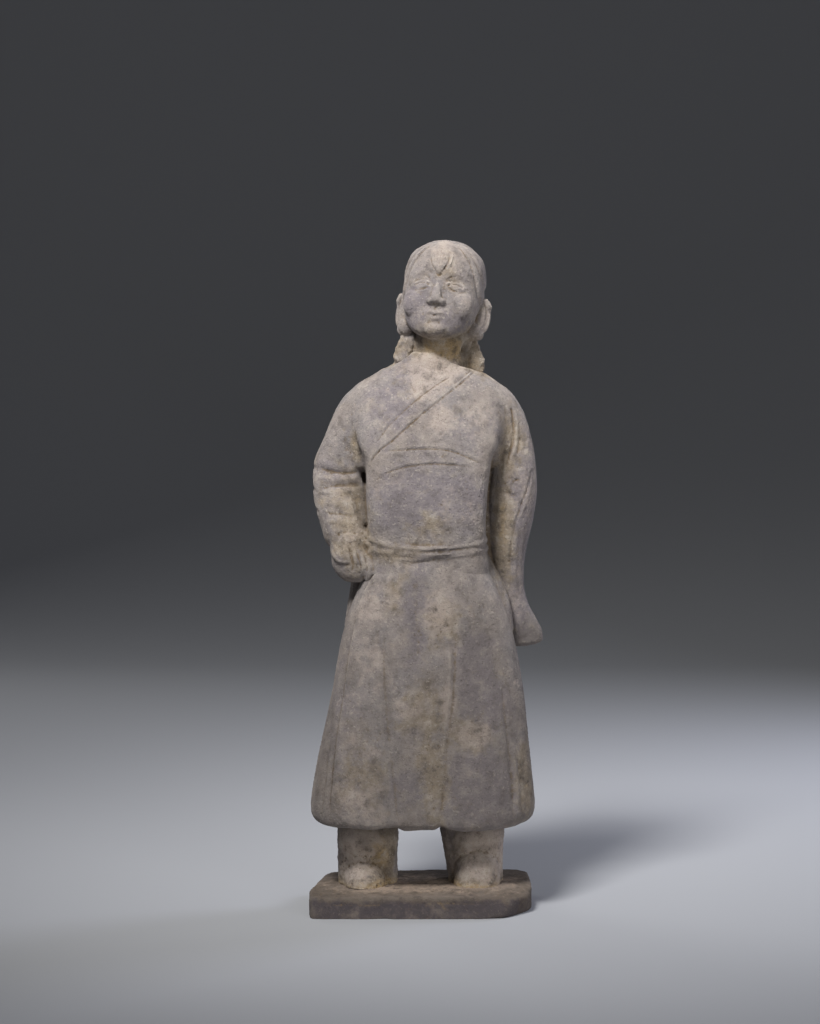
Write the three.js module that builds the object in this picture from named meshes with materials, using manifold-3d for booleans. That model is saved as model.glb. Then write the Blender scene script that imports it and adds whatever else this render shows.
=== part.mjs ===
// A standing man in grey earthenware on a slab plinth: a tomb figure 320 mm tall.
// Millimetres, +Z up. The man looks along -Y, and +X is towards his left hand.
// The origin is the middle of the plinth's underside. He wears a long robe that closes
// across the chest, a corded sash, trousers and shoes. His right fist holds the sash at the
// hip, and his left arm hangs in a sleeve that covers the hand.
import * as THREE from "three";
import { mergeVertices } from "three/addons/utils/BufferGeometryUtils.js";
import Module from "manifold-3d";

const wasm = await Module();
wasm.setup();
const { clamp, degToRad, smoothstep } = THREE.MathUtils;

// Driving dimensions
const crownHeight = 320;
const headHeight = 52;
const hemHeight = 41;
const sashHeight = 171.5;
const cordPitch = 5.4;
const collarHeight = 262;
const legSpacing = 51.6;
const slab = { width: 106, depth: 68, thickness: 11, rise: 0.013, edge: 1.3 };
const headPose = { x: 11, y: -0.5, back: 17, turn: -9, lean: 4.5 };
const seatGap = 0.3;

// Curves and skins

// A curve through [place, value] pairs that never overshoots them.
function smoothCurve(pairs) {
  const last = pairs.length - 1;
  const rises = pairs.slice(1).map(([x, y], i) => (y - pairs[i][1]) / (x - pairs[i][0]));
  const slopes = pairs.map((_, i) => {
    const before = rises[Math.max(i - 1, 0)];
    const after = rises[Math.min(i, last - 1)];
    return before * after <= 0 ? 0 : (2 * before * after) / (before + after);
  });
  return (x) => {
    const i = clamp(pairs.findLastIndex(([place]) => place <= x), 0, last - 1);
    const width = pairs[i + 1][0] - pairs[i][0];
    const t = clamp((x - pairs[i][0]) / width, 0, 1);
    const near = (1 + 2 * t) * (1 - t) ** 2 * pairs[i][1] + t * (1 - t) ** 2 * width * slopes[i];
    const far = t * t * (3 - 2 * t) * pairs[i + 1][1] - t * t * (1 - t) * width * slopes[i + 1];
    return near + far;
  };
}

// Numbers from the start through each span's end, with that span's count of even steps.
function spacedLevels(start, spans) {
  const levels = [start];
  for (const [end, steps] of spans) {
    const from = levels.at(-1);
    for (let i = 1; i <= steps; i++) levels.push(from + ((end - from) * i) / steps);
  }
  return levels;
}

// Turns a circle's sine or cosine into that of a rounded box: a power of 2 keeps the circle.
const squared = (share, power) => Math.sign(share) * Math.abs(share) ** (2 / power);

// A closed skin with a ring of points at each level: ringPoint(level, angle) is on the wall, and
// middle(level) is the point that an end closes to.
function skin(levels, around, ringPoint, middle) {
  const geometry = new THREE.CylinderGeometry(1, 1, 1, around, levels.length - 1);
  const place = geometry.getAttribute("position");
  for (let i = 0; i < place.count; i++) {
    const [x, y, z] = [place.getX(i), place.getY(i), place.getZ(i)];
    const level = levels[Math.round((y + 0.5) * (levels.length - 1))];
    const onWall = Math.hypot(x, z) > 0.5;
    const point = onWall ? ringPoint(level, Math.atan2(-z, x)) : middle(level);
    place.setXYZ(i, point.x, point.y, point.z);
  }
  return geometry;
}

// A skin of level sections from curves of height: middle x, half width, and reach to front and back.
function levelSkin(levels, around, { centre, half, front, back, power }, shape = (p) => p) {
  const middle = (z) => new THREE.Vector3(centre(z), (back(z) - front(z)) / 2, z);
  const ringPoint = (z, angle) => {
    const across = half(z) * squared(Math.cos(angle), power);
    const along = ((back(z) + front(z)) / 2) * squared(Math.sin(angle), power);
    return shape(middle(z).add(new THREE.Vector3(across, along, 0)));
  };
  return skin(levels, around, ringPoint, middle);
}

// A round-ended limb along a smooth path of [x, y, z, half width, half depth] stations.
function limb(stations, { around = 8, along = 6, swell = () => 0 } = {}) {
  const places = stations.map(([x, y, z]) => new THREE.Vector3(x, y, z));
  const path = new THREE.CatmullRomCurve3(places, false, "centripetal");
  const share = (i) => i / (stations.length - 1);
  const halfWidth = smoothCurve(stations.map((station, i) => [share(i), station[3]]));
  const halfDepth = smoothCurve(stations.map((station, i) => [share(i), station[4]]));
  const levels = spacedLevels(0, [[1, along]]).map((t) => (1 - Math.cos(Math.PI * t)) / 2);
  const endLength = 0.12;
  const leastEnd = 0.2;
  const ringPoint = (t, angle) => {
    const tangent = path.getTangent(t);
    const across = new THREE.Vector3(0, 1, 0).cross(tangent).normalize();
    const forward = tangent.clone().cross(across);
    const toEnd = 1 - clamp(Math.min(t, 1 - t) / endLength, 0, 1);
    const closing = Math.max(Math.sqrt(1 - toEnd * toEnd), leastEnd);
    const swollen = swell(t, angle);
    return path
      .getPoint(t)
      .addScaledVector(across, (halfWidth(t) * closing + swollen) * Math.cos(angle))
      .addScaledVector(forward, (halfDepth(t) * closing + swollen) * Math.sin(angle));
  };
  return skin(levels, around, ringPoint, (t) => path.getPoint(t));
}

// An egg-shaped lump, turned by degrees about X, Y and Z.
function lump([x, y, z], [halfX, halfY, halfZ], turn = [0, 0, 0], around = 12) {
  return new THREE.SphereGeometry(1, around, Math.round(around * 0.6))
    .scale(halfX, halfY, halfZ)
    .rotateX(degToRad(turn[0]))
    .rotateY(degToRad(turn[1]))
    .rotateZ(degToRad(turn[2]))
    .translate(x, y, z);
}

// Booleans

function toSolid(geometry) {
  const bare = new THREE.BufferGeometry();
  bare.setAttribute("position", geometry.getAttribute("position"));
  bare.setIndex(geometry.getIndex());
  const merged = mergeVertices(bare, 1e-4);
  return new wasm.Manifold(
    new wasm.Mesh({
      numProp: 3,
      vertProperties: merged.getAttribute("position").array,
      triVerts: new Uint32Array(merged.getIndex().array),
    }),
  );
}

function toGeometry(solid) {
  const { vertProperties, triVerts } = solid.getMesh();
  const geometry = new THREE.BufferGeometry();
  geometry.setAttribute("position", new THREE.BufferAttribute(vertProperties, 3));
  geometry.setIndex(new THREE.BufferAttribute(triVerts, 1));
  geometry.computeVertexNormals();
  return geometry;
}

const join = (geometries) => geometries.map(toSolid).reduce((whole, piece) => whole.add(piece));

// Plinth: a hand-cut slab that rises a little to the right, its right corners worn round

function plinthGeometry() {
  const { width, depth, thickness, rise, edge } = slab;
  const [side, front, back] = [width / 2 - edge, -depth / 2 + edge, depth / 2 - edge];
  const backInset = 6;
  const [wornCorner, backCorner] = [14, 7];
  const outline = new THREE.Shape()
    .moveTo(-side, front)
    .lineTo(side - wornCorner, front)
    .quadraticCurveTo(side - 2, front, side, front + wornCorner * 1.6)
    .lineTo(side, back - backCorner)
    .quadraticCurveTo(side, back, side - backCorner, back)
    .lineTo(backCorner + backInset - side, back)
    .quadraticCurveTo(backInset - side, back, backInset - side - 1, back - backCorner)
    .lineTo(-side, front);
  const geometry = new THREE.ExtrudeGeometry(outline, {
    depth: thickness - 2 * edge,
    bevelThickness: edge,
    bevelSize: edge,
    bevelSegments: 3,
    curveSegments: 6,
  }).translate(0, 0, edge);
  const place = geometry.getAttribute("position");
  for (let i = 0; i < place.count; i++) {
    const z = place.getZ(i);
    place.setZ(i, z + rise * place.getX(i) * (z / thickness));
  }
  return geometry;
}

// Robe: one skin from the hem, past the sash, to the collar

const robe = {
  centre: smoothCurve([
    [36, 0.3], [70, 1.1], [108, 2.9], [147, 3.2], [195, 2.6], [225, 4.6], [246, 4], [256, 3.8],
    [262, 7.5], [270, 9.6],
  ]),
  half: smoothCurve([
    [40, 48], [41.5, 51.4], [44, 53.3], [50, 53.9], [70, 51.2], [108, 45.1], [147, 38.2], [166, 30.8],
    [183, 28], [209, 29.6], [222, 33], [234, 38.4], [242, 39.4], [250, 35], [256, 26.4], [261, 18.5],
    [270, 13.5],
  ]),
  front: smoothCurve([
    [40, 27], [44, 32], [50, 33], [108, 29], [147, 26.6], [170, 24.2], [192, 26.4], [215, 26.4],
    [238, 22.5], [252, 16], [262, 11.5], [270, 9],
  ]),
  back: smoothCurve([
    [40, 25], [44, 29], [50, 30], [108, 25.6], [147, 22.6], [170, 20.4], [195, 20.6], [222, 22.6],
    [244, 19.4], [256, 16.5], [270, 15],
  ]),
  power: 2.4,
};

// Upright folds of the skirt: where each crosses the sash and the hem, and how deep it is.
const skirtFolds = [
  { sashX: -25, hemX: -45.5, front: true, depth: 1.5 },
  { sashX: -15, hemX: -11.5, front: true, depth: 1 },
  { sashX: 14, hemX: 9, front: true, depth: 1.2 },
  { sashX: 33, hemX: 45.5, front: true, depth: 1.6 },
  { sashX: -15, hemX: -30, front: false, depth: 1.4 },
  { sashX: 3, hemX: 2, front: false, depth: 1.6 },
  { sashX: 18, hemX: 33, front: false, depth: 1.4 },
];
const foldWidth = 3.2;

function foldDepth(p) {
  const down = clamp((sashHeight - p.z) / (sashHeight - hemHeight), 0, 1);
  const depths = skirtFolds
    .filter(({ front }) => front === p.y < 0)
    .map(({ hemX, sashX, depth }) => {
      const away = (p.x - sashX - (hemX - sashX) * down) / foldWidth;
      return depth * Math.exp(-away * away);
    });
  return smoothstep(down, 0.1, 0.55) * depths.reduce((sum, depth) => sum + depth, 0);
}

// Two cords of the sash lie one above the other round the waist.
function sashSwell(z) {
  const swells = [-0.5, 0.5].map((step) => {
    const away = Math.abs(z - sashHeight - step * cordPitch) / (cordPitch / 2);
    return 1.7 * Math.sqrt(Math.max(1 - away * away, 0));
  });
  return swells[0] + swells[1];
}

function robeShape(p) {
  const outward = new THREE.Vector3(p.x - robe.centre(p.z), p.y, 0).normalize();
  return p.addScaledVector(outward, sashSwell(p.z) - foldDepth(p));
}

function robeGeometry() {
  const sashFoot = sashHeight - cordPitch;
  const sashTop = sashHeight + cordPitch;
  const skirtLevels = [[45, 2], [50, 1], [sashFoot - 1, 7]];
  const bodiceLevels = [[232, 5], [collarHeight - 4, 5], [collarHeight + 4, 1]];
  const levels = spacedLevels(hemHeight - 1, [...skirtLevels, [sashTop + 1, 8], ...bodiceLevels]);
  return levelSkin(levels, 46, robe, robeShape);
}

// Chest: raised lines of the overlap, from the left of the neck to the right armpit, and two
// welts that cross the breast below it

function frontOfRobe(x, z) {
  const share = clamp((x - robe.centre(z)) / robe.half(z), -0.97, 0.97);
  const side = (1 - Math.abs(share) ** robe.power) ** (1 / robe.power);
  const reach = (robe.back(z) + robe.front(z)) / 2;
  return new THREE.Vector3(x, (robe.back(z) - robe.front(z)) / 2 - reach * side, z);
}

function chestLine(points, steps) {
  const flat = new THREE.SplineCurve(points.map(([x, z]) => new THREE.Vector2(x, z)));
  const onRobe = flat.getSpacedPoints(steps).map(({ x, y }) => frontOfRobe(x, y));
  return new THREE.ExtrudeGeometry(new THREE.Shape().absarc(0, 0, 0.9, 0, 2 * Math.PI), {
    curveSegments: 2,
    steps,
    extrudePath: new THREE.CatmullRomCurve3(onRobe),
  });
}

function chestLines() {
  return [
    chestLine([[23, 253.5], [9, 243.5], [-4, 233.5], [-17, 221.5], [-24.5, 213]], 20),
    chestLine([[17, 256], [4, 246], [-8, 236], [-18, 225.5], [-25, 217]], 20),
    chestLine([[-15, 219], [4, 220.5], [18, 218.5], [29, 214.5]], 14),
    chestLine([[-22, 205], [-10, 210], [4, 212], [16, 211]], 12),
  ];
}

// Arms: the right one bends to the fist on the hip, the left one hangs in a long sleeve

function rightArm() {
  const sleeve = [
    [-24, 2, 247, 9.5, 11], [-30, 3.5, 237, 10.4, 11.8], [-36.4, 5, 223, 11, 12.2],
    [-40.4, 6.5, 208, 11.8, 12.5], [-40, 2, 195, 11.4, 12], [-37.4, -4, 184, 11.2, 11.4],
    [-35.4, -8, 175, 10.2, 10.4],
  ];
  const wrinkles = { from: 0.44, to: 0.86, count: 4, height: 0.7 };
  const swell = (t) => {
    const share = clamp((t - wrinkles.from) / (wrinkles.to - wrinkles.from), 0, 1);
    return wrinkles.height * Math.sin(share * wrinkles.count * 2 * Math.PI);
  };
  const web = [[-28, 9, 230, 7, 5], [-30, 10, 206, 8, 5], [-29, 7, 177, 8, 6]];
  return [limb(sleeve, { along: 24, around: 12, swell }), limb(web)];
}

function rightFist() {
  const palm = lump([-35.6, -9, 167.5], [8.4, 9.5, 12], [0, -12, 0], 14);
  const thumb = [[-39, -14.5, 175, 3, 3], [-32, -20, 176, 3, 2.9], [-26, -22.5, 173.5, 2.6, 2.4]];
  const fingers = [0, 1, 2, 3].map((finger) => {
    const x = -27.4 - finger * 3.6;
    const y = -19.2 + finger * 0.7;
    const z = 170.5 - finger * 0.6;
    const knuckle = [x, y + 1, z + 1.5, 2.2, 2.4];
    const bend = [x - 0.5, y - 1.2, z - 5, 2.4, 2.6];
    return limb([knuckle, bend, [x - 1.5, y + 4, z - 11.5, 2.1, 2.4]]);
  });
  const cordEnds = [0, 1].map((end) => {
    const z = 172.8 - end * 3.2;
    const merge = [-7, -25.6, z - end * 1.4, 1.8, 1.6];
    return limb([[-27, -18.5, z + 2.6, 2.2, 2], [-18, -22.8, z, 2.2, 1.8], merge], { along: 8 });
  });
  return [palm, limb(thumb), ...fingers, ...cordEnds];
}

function leftArm() {
  const sleeve = [
    [31, 2, 247, 10, 11.5], [38, 3, 238, 11, 12], [43.6, 4.5, 222, 10.4, 12], [45.6, 6, 205, 9.8, 12],
    [44.8, 7, 188, 8.4, 11], [42.8, 8, 169, 7, 10], [43.4, 9.5, 153, 6.8, 9], [47.4, 11.5, 141, 7.2, 8.6],
    [52, 12.8, 131, 7.6, 8.2], [52.6, 13.4, 123.5, 5.4, 6.4],
  ];
  const folds = (t, angle) => {
    const reach = smoothstep(t, 0.1, 0.3) * smoothstep(1 - t, 0.15, 0.4);
    return 0.6 * reach * Math.cos(angle * 6);
  };
  const web = [[32, 9, 230, 7, 5], [35, 10.5, 206, 9, 5.5], [35, 10, 178, 8, 5.5], [37, 9, 148, 8, 6]];
  return [limb(sleeve, { along: 18, around: 14, swell: folds }), limb(web)];
}

// Head: made level and facing -Y about its own middle, then leant back, turned and tilted

const skull = {
  centre: () => 0,
  half: smoothCurve([
    [-26, 3], [-25, 7.2], [-22, 12.4], [-17, 16.6], [-10, 19.2], [-2, 20.2], [8, 19.9], [16, 17.2],
    [22, 12.2], [25, 6.6], [26, 2],
  ]),
  front: smoothCurve([
    [-26, 15], [-25, 17.5], [-22, 19.4], [-14, 20.4], [0, 20.9], [10, 20.4], [17, 17.2], [22, 12],
    [25, 6], [26, 2],
  ]),
  back: smoothCurve([
    [-26, -10], [-22, 2], [-16, 14], [-8, 20.6], [2, 23.2], [10, 22.6], [17, 19.4], [22, 14.6],
    [25, 8.6], [26, 4],
  ]),
  power: 2.15,
};

function faceForms() {
  const nose = [
    [0, -19.4, 4, 1.6, 1.6], [0, -20.8, -3, 2, 2.2], [0, -22.2, -8.6, 2.8, 2.8], [0, -20.4, -12.6, 2.4, 2],
  ];
  const pairs = [-1, 1].flatMap((side) => [
    lump([side * 7.8, -18.6, 0.4], [4.2, 2.7, 2.3], [0, side * 5, side * 16], 8),
    lump([side * 7.8, -17.5, 6.4], [6, 2.9, 1.8], [0, side * -3, side * 18], 8),
    lump([side * 2.9, -20.3, -11], [1.9, 2.2, 1.9], [0, 0, 0], 8),
    lump([side * 20.2, 2, -6], [2.6, 4.8, 9.4], [8, side * -6, side * 24], 10),
  ]);
  const lips = [
    lump([0, -19.7, -16.6], [6, 1.9, 1.4], [0, 0, 0], 8),
    lump([0, -19.3, -19], [4.6, 1.9, 1.5], [0, 0, 0], 8),
  ];
  const forelock = lump([0, -17.6, 12.6], [4.2, 2.6, 8.4], [-24, 0, 0], 10);
  return [limb(nose, { along: 8 }), ...pairs, ...lips, forelock];
}

function headGeometries() {
  const ends = headHeight / 2;
  const levels = spacedLevels(-ends, [[-25, 1], [-21, 1], [21, 10], [25, 1], [ends, 1]]);
  const { x, y, back, turn, lean } = headPose;
  const place = new THREE.Matrix4()
    .makeTranslation(x, y, crownHeight - ends + 0.6)
    .multiply(new THREE.Matrix4().makeRotationY(degToRad(lean)))
    .multiply(new THREE.Matrix4().makeRotationZ(degToRad(turn)))
    .multiply(new THREE.Matrix4().makeRotationX(degToRad(-back)));
  return [levelSkin(levels, 24, skull), ...faceForms()].map((geometry) => geometry.applyMatrix4(place));
}

// Neck and hair: a plait is looped up behind each ear and lies against the neck

function neckAndPlaits() {
  const neckPath = [[9.4, 3.5, 246, 13.4, 13], [10, 2.5, 262, 13.4, 12.4], [11.4, 2, 284, 13.4, 12.6]];
  const nape = lump([9.6, 10.5, 271], [17.5, 8.5, 17], [0, 4, 0], 12);
  const twist = (t, angle) => 0.5 * Math.cos(t * 30 + angle * 2);
  const loops = [
    [[-6, 9, 285, 3.4, 3.6], [-9, 9, 273, 4.2, 4.4], [-9, 9.4, 263.5, 4.4, 4.4], [-4, 13, 257.5, 3.8, 3.8]],
    [[26, 9, 282, 3.4, 3.6], [27, 8.2, 271, 4.2, 4.4], [26, 9.2, 260.5, 4.4, 4.4], [22, 13, 255, 3.8, 3.8]],
  ];
  const plaits = loops.map((loop) => limb(loop, { along: 16, around: 7, swell: twist }));
  return [limb(neckPath, { around: 16 }), nape, ...plaits];
}

// Legs: trouser legs and shoes, a little splayed, down to the slab

function legsAndShoes() {
  return [-1, 1].flatMap((side) => {
    const leg = new THREE.CylinderGeometry(15.4, 14.6, 46, 16, 1)
      .rotateX(degToRad(90))
      .scale(1, 1.06, 1)
      .translate((side * legSpacing) / 2, 3, 31);
    const toe = lump([side * 28, -7.5, 14], [11.4, 11, 9], [0, 0, side * 12], 14);
    return [leg, toe];
  });
}

// The two solids and the group

const plinthSolid = join([plinthGeometry()]);
const figureSolid = join([
  robeGeometry(),
  ...chestLines(),
  ...rightArm(),
  ...rightFist(),
  ...leftArm(),
  ...neckAndPlaits(),
  ...headGeometries(),
  ...legsAndShoes(),
]).subtract(plinthSolid.translate([0, 0, seatGap]));

const pieces = [
  { name: "figure", solid: figureSolid, color: 0x8f857f },
  { name: "plinth", solid: plinthSolid, color: 0x857a72 },
];

const tombFigure = new THREE.Group();
for (const { name, solid, color } of pieces) {
  const clay = new THREE.MeshStandardMaterial({ color, roughness: 0.92, metalness: 0 });
  const mesh = new THREE.Mesh(toGeometry(solid), clay);
  mesh.name = name;
  tombFigure.add(mesh);
}

export default tombFigure;
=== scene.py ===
import bpy
import bmesh
import math
import numpy as np
from itertools import product
from mathutils import Euler, Matrix, Vector
from mathutils.kdtree import KDTree


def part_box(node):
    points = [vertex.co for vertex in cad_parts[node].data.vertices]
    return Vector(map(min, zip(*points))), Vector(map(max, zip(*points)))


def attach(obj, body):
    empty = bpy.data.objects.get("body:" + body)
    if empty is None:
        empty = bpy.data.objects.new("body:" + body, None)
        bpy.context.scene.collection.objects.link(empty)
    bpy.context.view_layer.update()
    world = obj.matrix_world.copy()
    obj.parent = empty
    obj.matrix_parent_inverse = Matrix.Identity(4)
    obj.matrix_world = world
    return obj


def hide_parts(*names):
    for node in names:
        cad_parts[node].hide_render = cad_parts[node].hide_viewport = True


# A standing man in a long belted robe, moulded in grey earthenware and set on a hand-cut slab.
# Everything is worked in millimetres, front towards -Y, and turned to metres when a piece is finished.

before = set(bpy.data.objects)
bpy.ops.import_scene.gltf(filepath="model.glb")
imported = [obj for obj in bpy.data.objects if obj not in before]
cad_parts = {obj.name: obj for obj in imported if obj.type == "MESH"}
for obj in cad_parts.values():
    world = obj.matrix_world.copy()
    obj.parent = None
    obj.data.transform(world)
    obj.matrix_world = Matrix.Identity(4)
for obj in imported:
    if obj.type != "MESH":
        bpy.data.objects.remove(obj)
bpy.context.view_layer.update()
print("frame loaded")

millimetre = 0.001
seed = 7  # every chance pattern starts from this
slabLow, slabHigh = (np.array(corner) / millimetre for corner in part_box("plinth"))
crownHeight = float(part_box("figure")[1][2] / millimetre)


def smoothCurve(pairs):  # a curve through [place, value] pairs that never overshoots them
    places, values = np.array(pairs, float).T
    rises = np.diff(values) / np.diff(places)
    before, after = np.r_[rises[:1], rises], np.r_[rises, rises[-1:]]
    agree = before * after > 0
    slopes = np.where(agree, 2 * before * after / np.where(agree, before + after, 1), 0)

    def at(x):
        x = np.clip(np.asarray(x, float), places[0], places[-1])
        i = np.clip(np.searchsorted(places, x, side="right") - 1, 0, len(rises) - 1)
        width = places[i + 1] - places[i]
        t = (x - places[i]) / width
        near = (1 + 2 * t) * (1 - t) ** 2 * values[i] + t * (1 - t) ** 2 * width * slopes[i]
        far = t * t * (3 - 2 * t) * values[i + 1] - t * t * (1 - t) * width * slopes[i + 1]
        return near + far
    return at


def smoothPath(points, count):  # evenly counted points on a smooth line through a few given ones
    points = np.array(points, float)
    padded = np.vstack([2 * points[0] - points[1], points, 2 * points[-1] - points[-2]])
    t = np.linspace(0, len(points) - 1, count)
    i = np.minimum(t.astype(int), len(points) - 2)
    f = (t - i)[:, None]
    a, b, c, d = (padded[i + k] for k in range(4))
    return 0.5 * (2 * b + (c - a) * f + (2 * a - 5 * b + 4 * c - d) * f ** 2
                  + (3 * b - a - 3 * c + d) * f ** 3)


def unit(vectors):
    return vectors / np.maximum(np.linalg.norm(vectors, axis=-1, keepdims=True), 1e-9)


def smoothstep(x, low, high):
    t = np.clip((x - low) / (high - low), 0, 1)
    return t * t * (3 - 2 * t)


def addBarrel(bm, around, rings, place):  # a closed barrel whose wall goes where place(share, angle) says
    own = bmesh.new()
    bmesh.ops.create_cone(own, cap_ends=True, cap_tris=True, segments=around, radius1=1, radius2=1, depth=1)
    uprights = [edge for edge in own.edges if abs(edge.verts[0].co.z - edge.verts[1].co.z) > 0.5]
    bmesh.ops.subdivide_edges(own, edges=uprights, cuts=rings - 1, use_grid_fill=True)
    flat = np.array([vert.co for vert in own.verts])
    share = flat[:, 2] + 0.5
    angle = np.arctan2(flat[:, 1], flat[:, 0])
    outward = np.minimum(np.hypot(flat[:, 0], flat[:, 1]), 1)[:, None]
    middle, wall = place(share, angle)
    for vert, spot in zip(own.verts, middle + (wall - middle) * outward):
        vert.co = spot
    form = bpy.data.meshes.new("form")
    own.to_mesh(form)
    own.free()
    bm.from_mesh(form)
    bpy.data.meshes.remove(form)


def only(kind, geometry):  # the vertices or the edges of what an operator returns
    return [item for item in geometry if isinstance(item, kind)]


def squared(value, power):  # a circle's sine or cosine, made that of a rounded box
    return np.sign(value) * np.abs(value) ** (2 / power)


def addLevels(bm, low, high, form, around, rings, ceiling=None, shift=(0, 0)):
    # a form given by its level sections, cut off flat where a ceiling crosses it
    def place(share, angle):
        z = low + (high - low) * share
        front, back, half, power = (form[key](z) for key in ("front", "back", "half", "power"))
        middle = np.stack([form["centre"](z) + shift[0], (back - front) / 2 + shift[1], z], 1)
        across = half * squared(np.cos(angle), power)
        along = (back + front) / 2 * squared(np.sin(angle), power)
        wall = middle + np.stack([across, along, 0 * z], 1)
        if ceiling:
            for spots in (middle, wall):
                spots[:, 2] = np.minimum(spots[:, 2], ceiling(spots[:, 0], spots[:, 1]))
        return middle, wall
    addBarrel(bm, around, rings, place)


def addLimb(bm, stations, around=24, rings=36, facing=(0, 1, 0), ends=0.5, power=2):
    # a round-ended limb through [x, y, z, half width, half depth] stations
    stations = np.array(stations, float)
    fine = smoothPath(stations, 240)
    run = np.r_[0, np.cumsum(np.linalg.norm(np.diff(fine[:, :3], axis=0), axis=1))]
    endLength = ends * (stations[0, 3] + stations[-1, 3])

    def follow(along, columns):
        return np.stack([np.interp(along, run, fine[:, k]) for k in range(columns)], 1)

    def place(share, angle):
        along = run[-1] * ((1 - np.cos(np.pi * share)) / 4 + share / 2)  # rings gather at the ends
        spot = follow(along, 5)
        tangent = unit(follow(along + 0.3, 3) - follow(along - 0.3, 3))
        across = unit(np.cross(np.array(facing, float), tangent))
        forward = np.cross(tangent, across)
        toEnd = 1 - np.clip(np.minimum(along, run[-1] - along) / endLength, 0, 1)
        closing = np.sqrt(np.maximum(1 - toEnd ** 2, 0.02))
        wide = spot[:, 3] * closing * squared(np.cos(angle), power)
        deep = spot[:, 4] * closing * squared(np.sin(angle), power)
        return spot[:, :3], spot[:, :3] + across * wide[:, None] + forward * deep[:, None]
    addBarrel(bm, around, rings, place)


def addLump(bm, place, half, turn=(0, 0, 0)):  # an egg-shaped lump, turned by degrees
    matrix = (Matrix.Translation(place) @ Euler([math.radians(t) for t in turn]).to_matrix().to_4x4()
              @ Matrix.Diagonal((*half, 1)))
    bmesh.ops.create_uvsphere(bm, u_segments=24, v_segments=12, radius=1, matrix=matrix)


def remeshed(bm, name, voxel):  # joins every overlapping form into one even skin
    bmesh.ops.recalc_face_normals(bm, faces=bm.faces)
    mesh = bpy.data.meshes.new(name)
    bm.to_mesh(mesh)
    bm.free()
    piece = bpy.data.objects.new(name, mesh)
    bpy.context.scene.collection.objects.link(piece)
    skin = piece.modifiers.new("skin", "REMESH")
    skin.mode = "VOXEL"
    skin.voxel_size = voxel
    return applied(piece)


def applied(piece):  # bakes a piece's modifiers into its mesh
    old = piece.data
    graph = bpy.context.evaluated_depsgraph_get()
    piece.data = bpy.data.meshes.new_from_object(piece.evaluated_get(graph))
    piece.modifiers.clear()
    bpy.data.meshes.remove(old)
    return piece


def thinned(piece, triangles):  # fewer faces where the skin is smooth
    piece.data.calc_loop_triangles()
    ratio = triangles / len(piece.data.loop_triangles)
    if ratio < 1:
        thin = piece.modifiers.new("thin", "DECIMATE")
        thin.ratio = ratio
        applied(piece)
    print(piece.name, "has", len(piece.data.polygons), "faces")


# seen from each side, as one faces the figure: the axis looked along, the sign of its near end,
# and the two axes across
sides = {
    "front": (1, -1, [0, 2]),
    "back": (1, 1, [0, 2]),
    "left": (0, -1, [1, 2]),
    "right": (0, 1, [1, 2]),
}


def strokeProfile(kind, away, side, width):  # a stroke's height across its width
    if kind == "fold":  # up on one side and down on the other
        return np.exp(-(side / width - 0.8) ** 2) - np.exp(-(side / width + 0.8) ** 2)
    if kind == "step":  # a lapped edge that dies away behind
        raised = smoothstep(side, -width * 0.5, width * 0.5) * np.exp(-np.maximum(side, 0) / (width * 3))
        foot = np.exp(-((side + width * 0.5) / width * 1.6) ** 2)
        return raised * np.exp(-np.maximum(-side - width, 0)) - 0.35 * foot
    bell = np.exp(-(away / width) ** 2)
    return bell if kind == "ridge" else -bell


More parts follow.
